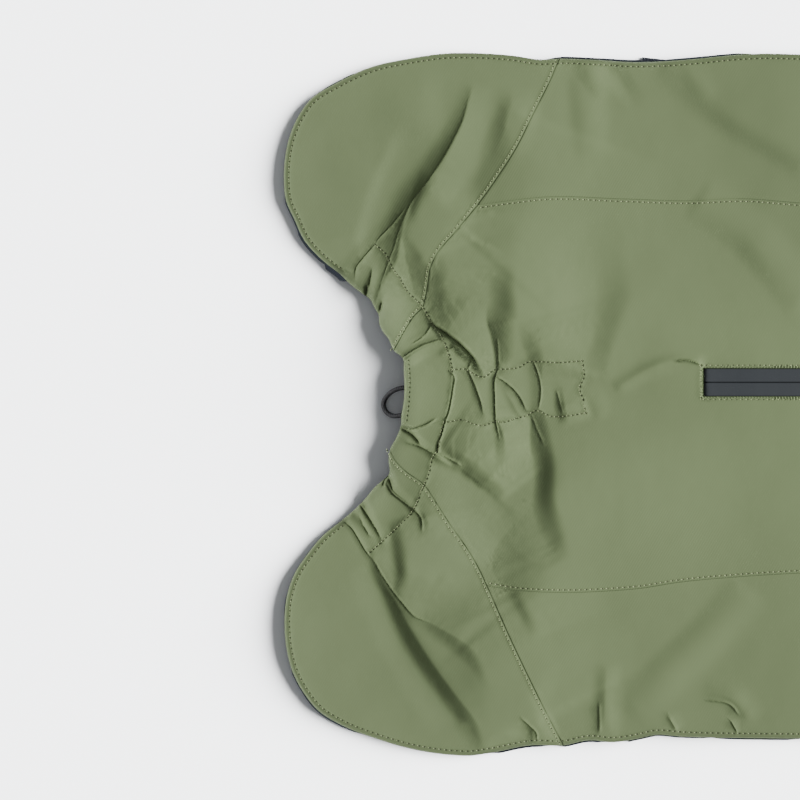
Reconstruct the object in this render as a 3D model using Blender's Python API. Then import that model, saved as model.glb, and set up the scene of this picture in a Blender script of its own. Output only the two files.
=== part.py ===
"""A dog's winter coat, laid flat on its lining with the back up and the neck to the left.

The coat is cut as five shell panels and a neck band over one lining, with a belly belt folded
beneath, a zip port for the leash and a loop of elastic cord at the neck. Every panel is a wall of
padded cloth: its outline comes from the seams drawn on the pattern sheet, and its height from one
common form, so that the panels meet at their seams.

All tables are in millimetres on the pattern sheet: x to the right, y down, from the sheet's top
left corner. Heights are above the floor.
"""

import math

import bmesh
import bpy
import numpy as np
from mathutils import Vector
from mathutils.geometry import delaunay_2d_cdt

for old in list(bpy.data.objects):
    bpy.data.objects.remove(old, do_unlink=True)

MM = 0.001
SHEET_CENTRE = (346.8, 201.85)

SHELL_WALL = 2.0
LINING_WALL = 1.5
LAYER_GAP = 0.6
SEAM_GAP = 0.3
EDGE_HEIGHT = LINING_WALL + LAYER_GAP + SHELL_WALL

BELT_WALL = 1.8
BELT_CLEARANCE = 0.3
BELT_RAMP_START, BELT_RAMP_END = 20.0, 34.0
SHELL_RAMP_END = 80.0

CORD_DIAMETER = 2.4

PORT_START, PORT_END = 351.5, 434.0
PORT_TOP, PORT_BOTTOM = 184.2, 198.2
TAPE_WALL = 1.0
TAPE_DROP = 0.8

# The outer edge, from the notch round the right lobe, along the hem, round the tail and back
OUTER_EDGE = (
    # x, y
    (170.0, 137.0), (160.0, 129.0), (152.0, 120.0), (147.0, 109.3), (143.2, 101.0), (141.9, 90.0),
    (142.3, 80.5), (144.5, 69.0), (148.3, 59.5), (154.7, 50.0), (168.7, 41.0), (186.5, 33.0),
    (203.8, 29.5), (222.9, 26.9), (240.0, 26.9), (257.4, 28.2), (270.5, 30.2), (279.8, 29.7),
    (297.0, 30.2), (316.5, 31.2), (338.0, 30.2), (350.0, 29.2), (367.5, 27.4), (383.0, 26.7),
    (400.0, 27.0), (430.0, 28.0), (465.0, 34.0), (500.0, 51.0), (528.0, 83.0), (543.0, 118.0),
    (550.2, 160.0), (551.7, 202.0), (550.2, 243.0), (543.0, 285.0), (528.0, 319.0), (500.0, 349.0),
    (465.0, 365.0), (430.0, 369.5), (400.0, 369.5), (362.5, 369.0), (340.0, 368.3), (328.0, 367.5),
    (318.5, 369.3), (306.0, 370.9), (294.8, 369.5), (282.0, 372.0), (266.0, 371.5), (245.3, 375.5),
    (235.0, 377.2), (226.8, 377.0), (203.9, 373.3), (188.5, 368.7), (169.5, 361.8), (159.5, 355.7),
    (151.9, 346.5), (146.5, 336.5), (143.4, 325.0), (142.3, 313.5), (143.4, 298.3), (147.3, 286.8),
    (153.4, 277.5), (160.3, 269.0), (171.0, 260.0),
)

# The neck edge, gathered on its cord, from the notch's upper corner to its lower one
NECK_EDGE = (
    # x, y
    (170.0, 137.0), (175.0, 142.0), (182.0, 147.5), (185.0, 149.5), (187.0, 153.5), (189.5, 158.0),
    (189.5, 161.0), (191.5, 166.0), (194.0, 169.0), (197.0, 175.5), (201.3, 179.0), (201.9, 185.3),
    (202.2, 193.0), (201.9, 200.5), (200.7, 208.3), (200.5, 212.6), (197.6, 219.8), (195.0, 224.5),
    (194.3, 230.0), (194.5, 237.0), (192.0, 239.5), (187.9, 243.0), (182.0, 250.0), (177.0, 255.0),
    (171.0, 260.0),
)

# Seams: each shoulder seam runs from the hem to the neck, each lengthwise seam from it to the tail
SHOULDER_SEAM_RIGHT = (
    # x, y
    (279.8, 29.7), (275.7, 39.4), (267.5, 55.7), (258.3, 74.0), (251.2, 85.3), (239.0, 102.5),
    (228.0, 115.8), (218.2, 127.8), (215.5, 133.6), (214.2, 141.3), (212.8, 149.3), (211.5, 153.8),
    (207.5, 158.0), (204.0, 163.0), (197.0, 175.5),
)
SHOULDER_SEAM_LEFT = (
    # x, y
    (282.0, 372.0), (274.0, 357.7), (264.5, 338.5), (253.3, 314.7), (243.5, 292.5), (238.9, 282.8),
    (232.3, 272.0), (225.0, 261.8), (218.5, 251.5), (211.9, 242.0), (202.5, 235.0), (197.0, 229.0),
    (195.0, 224.5),
)
LENGTH_SEAM_RIGHT = (
    # x, y
    (239.0, 102.5), (253.3, 100.5), (270.5, 98.5), (311.5, 99.5), (342.0, 100.5), (372.5, 99.5),
    (400.0, 101.5), (450.0, 104.0), (500.0, 110.0), (543.0, 118.0),
)
LENGTH_SEAM_LEFT = (
    # x, y
    (243.5, 292.5), (254.9, 294.7), (282.8, 296.3), (302.7, 295.5), (318.7, 294.3), (340.0, 291.0),
    (369.5, 288.3), (400.0, 286.5), (450.0, 285.0), (500.0, 284.5), (543.0, 285.0),
)

# The neck band's joins to the back panel, from the neck edge round to the neck edge again
BAND_JOIN = (
    # x, y
    (201.3, 179.0), (208.5, 173.5), (214.5, 171.0), (220.5, 170.0), (223.5, 176.5), (225.0, 186.0),
    (225.5, 193.0), (224.5, 201.5), (222.0, 209.0), (215.0, 212.3), (208.5, 214.2), (200.5, 212.6),
)

# How the whole coat, lining too, stands off the floor
RISES = (
    # place, x, y, height, reach towards the neck, reach towards the tail, reach across
    ("neck band", 228.0, 196.0, 8.0, 60.0, 70.0, 38.0),
    ("right shoulder at the neck", 206.5, 152.0, 10.0, 50.0, 15.5, 24.0),
    ("left shoulder at the neck", 205.0, 238.0, 6.0, 30.0, 45.0, 20.0),
    ("right lobe", 150.0, 88.0, 3.6, 30.0, 90.0, 50.0),
    ("right lobe's front", 143.0, 106.0, 2.2, 30.0, 24.0, 36.0),
    ("left lobe", 150.0, 318.0, 4.8, 30.0, 90.0, 52.0),
    ("left lobe's front", 143.0, 314.0, 2.4, 30.0, 24.0, 42.0),
    ("left lobe's fold", 207.0, 322.0, 6.0, 60.0, 38.0, 40.0),
)

# Fullness of the padded shell over its lining
BULGES = (
    # place, x, y, height, reach towards the neck, reach towards the tail, reach across
    ("behind the channel", 326.0, 196.0, 2.0, 30.0, 60.0, 30.0),
    ("left of the port", 385.0, 258.0, 3.4, 70.0, 120.0, 44.0),
    ("right of the port", 385.0, 120.0, 1.8, 80.0, 120.0, 50.0),
    ("right of the spine, behind it", 292.0, 146.0, 3.6, 26.0, 140.0, 36.0),
    ("spine channel", 262.0, 200.0, 1.5, 30.0, 30.0, 14.0),
    ("right casing", 200.0, 152.0, 1.5, 14.0, 12.0, 18.0),
    ("left casing", 203.0, 240.0, 2.0, 14.0, 12.0, 16.0),
)

# Folds: a trough has depths over 0 and a ridge ones under 0, spread evenly along its way, which is
# its bottom or crest. The neck's side of the coat is the one towards the light.
FOLDS = (
    # name, way, depths along it (a ridge's are under 0), reach towards the light, reach away from it,
    # sharpness: 0 is round and 1 sharp
    ("right lobe", ((235.5, 45), (234.5, 50), (231.8, 60), (227, 70), (221.3, 80), (214.5, 90),
                    (206.7, 100), (202, 110), (199.4, 120), (196.8, 130), (191.8, 140), (188.2, 150)),
     (0.6, 2.2, 3.4, 4.6, 5.0, 5.0, 5.0, 4.8, 2.4, 1.0), (6, 8, 10, 12, 13, 12, 12, 14, 8, 3.5),
     (20, 30, 40, 44, 44, 50, 60, 60, 50, 20), (1.0,)),
    ("right lobe, hollow", ((206, 38), (207, 50), (208, 60), (209, 68)), (0.3, 0.9, 0.9, 0.3), (24,), (16,), (0,)),
    ("right lobe, shaded side", ((218, 92), (213, 100), (212, 108), (215, 116), (219.5, 124)),
     (1.2, 4.6, 4.6, 3.4, 1.2), (8, 8, 9, 14, 12), (26, 40, 60, 70, 60), (0,)),
    ("right lobe, crest", ((204, 68), (199, 80), (194, 90), (190, 100), (187, 110), (184.5, 120), (186, 128)),
     (-0.3, -0.8, -1.0, -1.0, -1.0, -1.2, -0.6), (8,), (26, 24, 20, 16, 12), (0,)),
    ("right shoulder groove", ((255.5, 47), (255.5, 55), (253.5, 62), (250.5, 70), (247, 78)),
     (0.5, 2.4, 2.8, 1.8, 0.6), (8,), (16,), (0.3,)),
    ("right shoulder, by the seam", ((263, 62), (256, 78), (249, 90), (240.5, 101.5), (230.5, 113)),
     (1.4, 3.0, 2.8, 2.0, 0.8), (15,), (80,), (0,)),
    ("right shoulder wedge", ((201.5, 117), (203.5, 124), (204.5, 130), (204.5, 138), (206.5, 146), (208, 152)),
     (-1.0, -2.0, -3.4, -4.4, -2.6, -0.6), (40,), (7, 8, 10, 12, 8, 5), (0.5,)),
    ("right casing, hollow", ((180, 128), (186, 134), (190.5, 141), (192.5, 148)), (1.0, 2.2, 2.6, 1.6),
     (14,), (24,), (0,)),
    ("right neck diagonal", ((216.4, 162.7), (223.6, 167.6), (230.9, 173), (237, 179.4), (240.4, 184)),
     (3.0, 5.4, 5.4, 4.8, 2.4), (4, 6, 7, 6.5, 4), (34,), (0.6,)),
    ("right neck arc", ((222.5, 176), (227.5, 174), (231, 177)), (1.0, 1.2, 1.0), (2.5,), (3,), (0.5,)),
    ("right of the spine", ((243.5, 133), (242, 142), (242.5, 150), (243.5, 158), (244.6, 165), (245.4, 172),
                            (246, 178), (248, 184)),
     (-0.8, -2.6, -3.8, -4.6, -5.2, -5.2, -4.2, -2.2), (20, 26, 32, 38, 42, 42, 38, 26),
     (14, 15, 15, 16, 17, 16, 14, 8), (0, 0, 0.2, 0.5, 0.8, 0.9, 0.9, 0.9)),
    ("right of the spine, next", ((271, 164), (273, 172), (273.5, 180), (273.5, 188), (273.5, 196), (272.5, 204)),
     (0.4, 1.8, 2.6, 2.4, 2.6, 2.0), (12, 10, 9, 8, 7, 6), (60, 60, 50, 30, 20, 16),
     (0, 0, 0.2, 0.5, 0.6, 0.5)),
    ("behind the right bulge", ((292, 108), (294, 120), (295, 130), (295.5, 145), (295, 160), (293.5, 170),
                                (291, 182)), (-0.6, -1.4, -1.9, -2.1, -1.9, -1.6, -1.0), (24,), (17,), (0.7,)),
    ("channel 1", ((234.5, 187), (236.6, 190), (238.5, 197), (241, 203), (241.8, 207)),
     (0.9, 1.3, 1.4, 1.3, 0.8), (3.5,), (14,), (0.9,)),
    ("channel 2", ((249, 184.5), (247.2, 190), (247, 197), (247.2, 203), (249, 211), (251.4, 217),
                   (252.6, 223), (253.2, 229)), (1.6, 1.6, 1.6, 1.6, 1.8, 2.4, 2.0, 0.6),
     (4, 4, 4, 4, 4.5, 5, 6, 6), (15,), (0.9, 0.9, 0.9, 0.9, 0.9, 0.7, 0.3, 0)),
    ("channel 3", ((249.5, 189), (254.5, 193), (259.5, 197.5), (262.2, 203), (264, 206.5)),
     (0.6, 1.2, 1.5, 1.3, 0.8), (4,), (12,), (0.8,)),
    ("channel 4", ((253, 196.5), (260, 208.5)), (0.4, 0.6, 0.5), (2.5,), (4,), (0.5,)),
    ("channel 6", ((281.5, 193), (282.5, 197), (283.5, 203), (284.5, 208)), (0.3, 1.2, 2.4, 1.6),
     (6,), (16,), (0.2,)),
    ("channel end", ((293.5, 196), (296.5, 200), (299, 206)), (0.4, 0.7, 0.5), (4,), (8,), (0,)),
    ("left of the spine", ((265, 209), (264.5, 214), (264, 220), (264.5, 226), (265.5, 232), (264.5, 240),
                           (264, 248), (265.5, 256), (268, 264), (272, 272), (276, 280)),
     (-3.0, -4.0, -5.4, -6.2, -7.0, -7.0, -6.8, -5.4, -3.8, -2.2, -0.6),
     (26, 36, 44, 56, 62, 62, 60, 54, 44, 30, 16), (8, 12, 15, 17, 17, 18, 19, 19, 17, 13, 8),
     (0.7, 0.4, 0.3, 0, 0, 0, 0, 0, 0, 0, 0)),
    ("left of the spine, outside", ((262, 246), (257, 254), (252, 262), (247, 270), (244.5, 278), (248, 288),
                                    (253, 298), (258, 306), (263, 314)),
     (-0.6, -1.6, -2.8, -3.4, -3.4, -2.6, -2.2, -1.8, -0.4), (50,), (20, 24, 30, 34, 32, 18, 12, 8, 6),
     (0, 0, 0, 0, 0, 0.3, 0.4, 0.4, 0)),
    ("left neck diagonal", ((226, 223.5), (231, 226.5), (237.5, 231.5), (245.5, 239), (250, 244)),
     (1.6, 3.4, 4.6, 3.8, 1.0), (6, 7, 7.5, 7, 5), (30,), (0.1,)),
    ("right gather 1", ((186.5, 137), (185, 141.5), (184, 148)), (1.0, 1.8, 1.6), (3.2,), (3.2,), (0.6,)),
    ("right gather 2", ((191, 150), (190.5, 154), (189.8, 157)), (0.8, 1.2, 1.0), (2.6,), (3,), (0.6,)),
    ("right gather 3", ((216, 163), (213.5, 165.5), (210, 168), (206.5, 170)), (1.2, 1.4, 0.8),
     (2.8,), (4,), (0.6,)),
    ("band's right end", ((201.5, 179), (208.5, 173.5), (214.5, 171), (220.5, 170)), (1.4, 1.4, 1.4),
     (2.6,), (3,), (0.8,)),
    ("left gather 1", ((200.5, 213), (206, 217), (210, 221.5)), (1.6, 1.8, 1.0), (2.8,), (3,), (0.6,)),
    ("left gather 2", ((203.5, 221), (210, 224), (216.5, 227.5)), (1.4, 1.8, 1.2), (2.6,), (3,), (0.6,)),
    ("left gather 3", ((194.4, 238), (196, 244), (203.5, 251), (206.5, 254.5)), (2.0, 2.0, 1.2),
     (2.8,), (3.5,), (0.6,)),
    ("left gather 4", ((181.5, 251), (185, 260), (191, 270)), (1.4, 1.4, 0.8), (2.8,), (3.5,), (0.6,)),
    ("left gather 5", ((177, 256), (183, 265), (185.5, 268)), (0.8, 1.0, 0.8), (3,), (3,), (0.6,)),
    ("left shoulder 1", ((206.5, 253), (209.5, 258), (211.3, 265)), (1.0, 1.8, 0.6), (3.5,), (6,), (0.5,)),
    ("left shoulder 2", ((199.5, 264), (201, 272), (202.3, 280), (202.5, 288), (201.5, 295)),
     (0.8, 2.4, 3.4, 3.0, 0.8), (6, 7, 7, 6, 5), (18,), (0.2,)),
    ("left lobe, upper", ((186.5, 279), (193.5, 289.6), (202.5, 301), (209.5, 306.5), (217.5, 310.5),
                          (228, 316.5), (238, 323.5), (246, 331), (253, 339)),
     (0.6, 1.2, 1.8, 2.2, 3.6, 5.2, 5.0, 4.0, 1.2), (3, 3.5, 4, 5, 7, 9, 11, 11, 9),
     (12, 14, 18, 26, 40, 50, 50, 44, 30), (0.9, 0.9, 0.9, 0.8, 0.5, 0.4, 0.1, 0, 0)),
    ("left lobe", ((187.5, 279), (192.5, 287), (199.8, 300), (209, 315), (220.3, 330), (231.5, 345), (243, 360),
                   (249, 368)), (1.2, 4.0, 5.6, 7.0, 7.4, 7.2, 5.4, 2.4), (4, 7, 9, 11, 14, 14, 14, 12),
     (14, 24, 44, 80, 80, 80, 70, 40), (0.5, 0.4, 0.3, 0.2, 0.2, 0.2, 0.1, 0)),
    ("left lobe, crest", ((184, 285), (190.5, 300), (196, 315), (204, 330), (213.5, 345), (223, 360)),
     (-0.6, -1.0, -1.0, -1.0, -1.0, -0.8), (9,), (12,), (0,)),
    ("left lobe, behind it", ((242, 324), (254, 336), (265, 349), (272, 360)), (1.2, 2.6, 2.8, 1.0),
     (26,), (70,), (0,)),
    ("left hem 1", ((258, 351), (263, 356), (267.5, 361), (269.5, 370)), (0.4, 1.2, 2.0, 1.4),
     (6,), (9,), (0.3,)),
    ("right side diagonal", ((318, 52), (345, 66), (372, 80), (400, 94)), (0.6, 1.6, 1.8, 1.2),
     (12,), (14,), (0,)),
    ("right hem 1", ((292.5, 32.5), (296, 39), (300, 46)), (1.6, 1.4, 0.5), (5,), (8,), (0,)),
    ("right hem 2", ((305, 34), (316, 49)), (-0.8, -1.2, -0.5), (5,), (5,), (0,)),
    ("right hem 3", ((345, 35), (352.5, 46)), (1.2, 1.2, 0.6), (5,), (6,), (0,)),
    ("right side upright", ((291.5, 40), (295, 75)), (0.8, 1.2, 0.5), (9,), (12,), (0,)),
    ("right of the port", ((350, 102.5), (375, 120), (400, 150)), (0.8, 1.8, 0.8), (12,), (16,), (0,)),
    ("port corner", ((310, 192.5), (325, 184), (340, 180), (348, 180.5)), (0.8, 1.6, 1.0), (5,), (5,), (0.3,)),
    ("left hem 2", ((300, 335), (299, 352), (298.5, 369)), (0.6, 1.4, 1.6), (6,), (8,), (0.3,)),
    ("left hem 3", ((355, 348), (363.5, 350.5), (370.5, 357.5)), (0.6, 1.0, 0.8), (4.5,), (6,), (0.3,)),
    ("left side diagonal", ((371, 296.5), (352, 319), (334.5, 335), (317, 354)), (0.8, 1.8, 0.8),
     (12,), (14,), (0,)),
    ("tail, right", ((430, 60), (462, 82), (498, 96)), (0.8, 1.8, 0.8), (12,), (14,), (0,)),
    ("tail, right of the middle", ((455, 130), (488, 152), (528, 158)), (0.8, 1.8, 0.8), (11,), (14,), (0,)),
    ("tail, left of the middle", ((438, 236), (470, 252), (515, 246)), (0.8, 1.8, 0.8), (12,), (14,), (0,)),
    ("tail, left", ((425, 318), (455, 334), (490, 326)), (0.8, 1.8, 0.8), (11,), (14,), (0,)),
)

# Where the lining peeks out from under the shell's edge
LINING_PEEKS = (
    # place, x, y, half its length along the edge, how far it shows
    ("right lobe's top", 169.5, 41.0, 10.0, 0.4),
    ("right lobe's front", 147.0, 108.0, 12.0, 0.6),
    ("right lobe's front, lower", 155.0, 123.5, 13.0, 1.1),
    ("right lobe's corner", 168.0, 135.5, 7.5, 2.2),
    ("right hem", 306.0, 30.8, 17.0, 1.2),
    ("right hem, behind the belt", 352.0, 28.9, 14.0, 1.0),
    ("left lobe's top", 142.5, 302.0, 5.0, 0.3),
    ("left lobe's front", 150.0, 342.0, 9.0, 0.5),
    ("left lobe's front, lower", 163.0, 358.5, 22.0, 1.0),
    ("left hem", 290.5, 371.0, 9.0, 1.0),
    ("left hem, behind the belt", 378.0, 369.3, 18.0, 0.6),
)
LINING_SET_BACK = 1.0

# The lining stops short of the neck edge where the cord comes out
CORD_OUTLET = (202.0, 200.5)
CORD_OUTLET_REACH = 10.0
CORD_SET_BACK = 5.2

# The belt's four corners: two at the right hem, two at the left one
BELT_CORNERS = np.array(((321.5, 28.2), (341.0, 30.4), (334.5, 367.0), (314.5, 371.4)))

MESH_CENTRE = (232.0, 196.0)
MESH_RINGS = (
    # inner radius, outer radius, spacing
    (0.0, 60.0, 3.7),
    (60.0, 112.0, 5.7),
    (112.0, 165.0, 8.0),
    (165.0, 500.0, 12.0),
)


def spacing_at(x, y):
    """The mesh is fine at the gathered neck and coarse at the tail."""
    away = math.hypot(x - MESH_CENTRE[0], y - MESH_CENTRE[1])
    for inner, outer, spacing in MESH_RINGS:
        if away < outer:
            return spacing
    return MESH_RINGS[-1][2]


def smooth(rows, step=None):
    """A curve through all the rows, sampled at about one step, or as the mesh is spaced."""
    point = np.array(rows, float)
    leg = np.diff(point, axis=0)
    chord = np.linalg.norm(leg, axis=1)
    slope = leg / chord[:, None]
    tangent = np.vstack((slope[:1], slope))
    share = (chord[:-1] / (chord[:-1] + chord[1:]))[:, None]
    tangent[1:-1] = slope[:-1] * (1 - share) + slope[1:] * share
    samples = []
    for i, length in enumerate(chord):
        middle = (point[i] + point[i + 1]) / 2
        count = max(1, round(length / (step or spacing_at(*middle[:2]))))
        for t in np.arange(count) / count:
            samples.append(
                point[i] * (2 * t**3 - 3 * t**2 + 1) + point[i + 1] * (3 * t**2 - 2 * t**3)
                + tangent[i] * length * (t**3 - 2 * t**2 + t) + tangent[i + 1] * length * (t**3 - t**2))
    samples.append(point[-1])
    return np.array(samples)


def stretch(curve, start, end):
    """The part of a curve from one of its rows to another, either way along it."""
    first = int(np.argmin(np.linalg.norm(curve - start, axis=1)))
    last = int(np.argmin(np.linalg.norm(curve - end, axis=1)))
    return curve[first:last + 1] if first <= last else curve[last:first + 1][::-1]


def loop_of(*stretches):
    """One closed outline from stretches that meet end to end."""
    return np.vstack([part[:-1] for part in stretches])


def inset(outline, amounts):
    """An outline moved inwards; an amount under 0 moves it out."""
    before = outline - np.roll(outline, 1, axis=0)
    after = np.roll(outline, -1, axis=0) - outline
    before /= np.linalg.norm(before, axis=1)[:, None]
    after /= np.linalg.norm(after, axis=1)[:, None]
    x, y = outline.T
    turning = np.sign(np.sum(x * np.roll(y, -1) - np.roll(x, -1) * y))
    inward = turning * (np.column_stack((-before[:, 1], before[:, 0])) + np.column_stack((-after[:, 1], after[:, 0])))
    size = np.linalg.norm(inward, axis=1)
    return outline + inward / size[:, None] * (np.minimum(2 / size, 2.5) * amounts)[:, None]


def inside(points, outline):
    """True for each point that lies inside a closed outline."""
    x, y = points[:, 0, None], points[:, 1, None]
    x0, y0 = outline.T
    x1, y1 = np.roll(outline, -1, axis=0).T
    spans = (y0 > y) != (y1 > y)
    rise = np.where(y1 == y0, 1.0, y1 - y0)
    return (spans & (x < (x1 - x0) * (y - y0) / rise + x0)).sum(axis=1) % 2 == 1


def distance(points, line):
    """How far each point is from a line of short straight stretches."""
    start, leg = line[:-1], np.diff(line, axis=0)
    away = points[:, None, :] - start
    t = np.clip((away * leg).sum(axis=2) / (leg**2).sum(axis=1), 0, 1)
    return np.linalg.norm(away - t[..., None] * leg, axis=2).min(axis=1)


def mounds(points, rows):
    """The sum of soft round mounds."""
    total = np.zeros(len(points))
    for _, x, y, height, to_neck, to_tail, across in rows:
        reach = np.where(points[:, 0] < x, to_neck, to_tail)
        total += height * np.exp(-((points[:, 0] - x) / reach)**2 - ((points[:, 1] - y) / across)**2)
    return total


FOLD_STEP, FOLD_END = 1.0, 5.0
SHARP_FALL, SHARP_RISE = 2.0, 1.3


def along(share, values):
    """The value at each share of a way, from a few values spread evenly along it."""
    return np.interp(share, np.linspace(0, 1, len(values)), values)


def fold(points, way, depths, to_light, from_light, sharpness):
    """How deep one fold is at each point.

    A sharp fold is steepest at its way, and a round one halfway up. Both fade out past their ends.
    """
    line = smooth(way, FOLD_STEP)
    tangent = np.gradient(line, axis=0)
    tangent /= np.linalg.norm(tangent, axis=1)[:, None]
    away = points[:, None, :] - line
    nearest = np.linalg.norm(away, axis=2).argmin(axis=1)
    away, tangent = away[np.arange(len(points)), nearest], tangent[nearest]
    across = away[:, 0] * tangent[:, 1] - away[:, 1] * tangent[:, 0]
    past = np.where((nearest > 0) & (nearest < len(line) - 1), 0, np.abs((away * tangent).sum(axis=1)))
    share = nearest / (len(line) - 1)
    lit = (across > 0) == (line[0, 1] > line[-1, 1])
    reach = np.where(lit, along(share, to_light), along(share, from_light))
    part = np.clip(np.abs(across) / reach, 0, 1)
    depth, sharp = along(share, depths), along(share, sharpness)
    steep = (1 - part)**np.where(lit == (depth > 0), SHARP_FALL, SHARP_RISE)
    fade = np.clip(1 - past / FOLD_END, 0, 1)
    return depth * ((1 - sharp) * (1 - part**2)**2 + sharp * steep) * fade**2 * (3 - 2 * fade)


outer_edge = smooth(OUTER_EDGE)
neck_edge = smooth(NECK_EDGE)
shoulder_right = smooth(SHOULDER_SEAM_RIGHT)
shoulder_left = smooth(SHOULDER_SEAM_LEFT)
length_right = smooth(LENGTH_SEAM_RIGHT)
length_left = smooth(LENGTH_SEAM_LEFT)
band_join = smooth(BAND_JOIN)
coat_edge = np.vstack((outer_edge, neck_edge[-2::-1]))

belt_ends = (BELT_CORNERS[[0, 3]] + BELT_CORNERS[[1, 2]]) / 2
RAISED_FROM = 0.6
EDGE_FULLNESS_REACH = 3.0
FOLD_FLOOR_SOFTNESS = 0.1


def off_belt(points):
    """How far each point is, on the sheet, from the belt's middle line."""
    along = (belt_ends[1] - belt_ends[0]) / np.linalg.norm(belt_ends[1] - belt_ends[0])
    away = points - belt_ends[0]
    return np.abs(away[:, 0] * along[1] - away[:, 1] * along[0])


def belt_lift(points):
    """How far the belt lifts the lining."""
    ramp = np.clip((BELT_RAMP_END - off_belt(points)) / (BELT_RAMP_END - BELT_RAMP_START), 0, 1)
    return (BELT_WALL + BELT_CLEARANCE) * ramp


def over_belt(points):
    """How far the belt lifts the shell, where the wadding smooths its step."""
    share = np.clip((off_belt(points) - BELT_RAMP_START) / (SHELL_RAMP_END - BELT_RAMP_START), 0, 1)
    return (BELT_WALL + BELT_CLEARANCE) * (1 - share**2 * (3 - 2 * share))


def raised(points):
    """How far the coat stands off the floor at its neck and lobes."""
    return np.maximum(mounds(points, RISES) - RAISED_FROM, 0)


CROWN, CROWN_REACH, NECK_CROWN_REACH = 2.4, 16.0, 34.0
SEAM_DIP, SEAM_REACH = 0.5, 3.5


def shell_top(points):
    """The shell's outer side: a crowned form with its bulges, less its folds and its seams."""
    lowest = over_belt(points) + EDGE_HEIGHT
    form = np.hypot(raised(points), over_belt(points)) + EDGE_HEIGHT
    to_hem, to_neck = distance(points, outer_edge), distance(points, neck_edge)
    form += CROWN * (1 - np.exp(-to_hem / CROWN_REACH)) * (1 - np.exp(-to_neck / NECK_CROWN_REACH))
    form += mounds(points, BULGES) * (1 - np.exp(-np.minimum(to_hem, to_neck) / EDGE_FULLNESS_REACH))
    for _, way, depths, to_light, from_light, sharpness in FOLDS:
        form -= fold(points, way, depths, to_light, from_light, sharpness)
    for seam in (shoulder_right, shoulder_left, length_right, length_left):
        form -= SEAM_DIP * np.clip(1 - distance(points, seam) / SEAM_REACH, 0, 1)**2
    over = form - lowest
    return lowest + (over + np.sqrt(over**2 + FOLD_FLOOR_SOFTNESS)) / 2


# The lattice that fills a panel: its reach over the sheet, and its spacing's shares
SHEET_COLUMNS, SHEET_ROWS = (120, 570), (10, 390)
ROW_SPACING = math.sqrt(3) / 2
CLEAR_OF_EDGE, APART = 0.5, 0.7


def filled(outline, holes=(), extra=(), rings=MESH_RINGS):
    """Triangles that fill an outline: its own points, extra ones, and an even lattice between."""
    edges = []
    points = []
    for ring in (outline, *holes):
        first = len(points)
        points.extend(ring)
        edges.extend((first + i, first + (i + 1) % len(ring)) for i in range(len(ring)))
    bounds = np.vstack([np.vstack((ring, ring[:1])) for ring in (outline, *holes)])
    kept = [np.array(points)]
    for inner, outer, spacing in rings:
        columns = np.arange(*SHEET_COLUMNS, spacing)
        rows = np.arange(*SHEET_ROWS, spacing * ROW_SPACING)
        grid = np.array([(x + (i % 2) * spacing / 2, y) for i, y in enumerate(rows) for x in columns])
        away = np.linalg.norm(grid - MESH_CENTRE, axis=1)
        grid = grid[(away >= inner) & (away < outer)]
        if len(extra):
            near = np.linalg.norm(extra - MESH_CENTRE, axis=1)
            crest = extra[(near >= inner) & (near < outer)]
            crest = crest[inside(crest, outline)] if len(crest) else crest
            crest = crest[distance(crest, bounds) > spacing * CLEAR_OF_EDGE] if len(crest) else crest
            chosen = []
            for point in crest:
                if all(math.dist(point, other) > spacing * APART for other in chosen):
                    chosen.append(point)
            if chosen:
                kept.append(np.array(chosen))
                apart = np.linalg.norm(grid[:, None, :] - np.array(chosen), axis=2).min(axis=1)
                grid = grid[apart > spacing * APART]
        grid = grid[inside(grid, outline)]
        for hole in holes:
            grid = grid[~inside(grid, hole)]
        if len(grid):
            kept.append(grid[distance(grid, bounds) > spacing * CLEAR_OF_EDGE])
    everything = [Vector(p) for p in np.vstack(kept)]
    corners, _, faces, _, _, _ = delaunay_2d_cdt(everything, edges, [], 1, 1e-4)
    corners = np.array(corners)
    middles = np.array([corners[list(face)].mean(axis=0) for face in faces])
    solid = inside(middles, outline)
    for hole in holes:
        solid &= ~inside(middles, hole)
    return corners, [face for face, keep in zip(faces, solid) if keep]


def on_floor(points, heights):
    """Sheet places and heights in millimetres as places in the room in metres."""
    return [((x - SHEET_CENTRE[0]) * MM, (SHEET_CENTRE[1] - y) * MM, z * MM)
            for (x, y), z in zip(points, heights)]


def material(name, colour, roughness, metallic=0.0):
    finish = bpy.data.materials.new(name)
    finish.use_nodes = True
    shader = finish.node_tree.nodes["Principled BSDF"]
    shader.inputs["Base Color"].default_value = (*colour, 1.0)
    shader.inputs["Roughness"].default_value = roughness
    shader.inputs["Metallic"].default_value = metallic
    return finish


shell_cloth = material("shell cloth", (0.20, 0.25, 0.14), 0.85)
lining_cloth = material("lining cloth", (0.02, 0.024, 0.032), 0.8)
tape_cloth = material("zip tape", (0.06, 0.07, 0.08), 0.55)
webbing = material("belt webbing", (0.015, 0.016, 0.018), 0.85)
cord_cloth = material("elastic cord", (0.014, 0.014, 0.015), 0.75)
slider_paint = material("slider paint", (0.05, 0.055, 0.06), 0.4, 0.6)


def add_object(name, mesh, finish):
    piece = bpy.data.objects.new(name, mesh)
    bpy.context.scene.collection.objects.link(piece)
    piece.data.materials.append(finish)
    return piece


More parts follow.
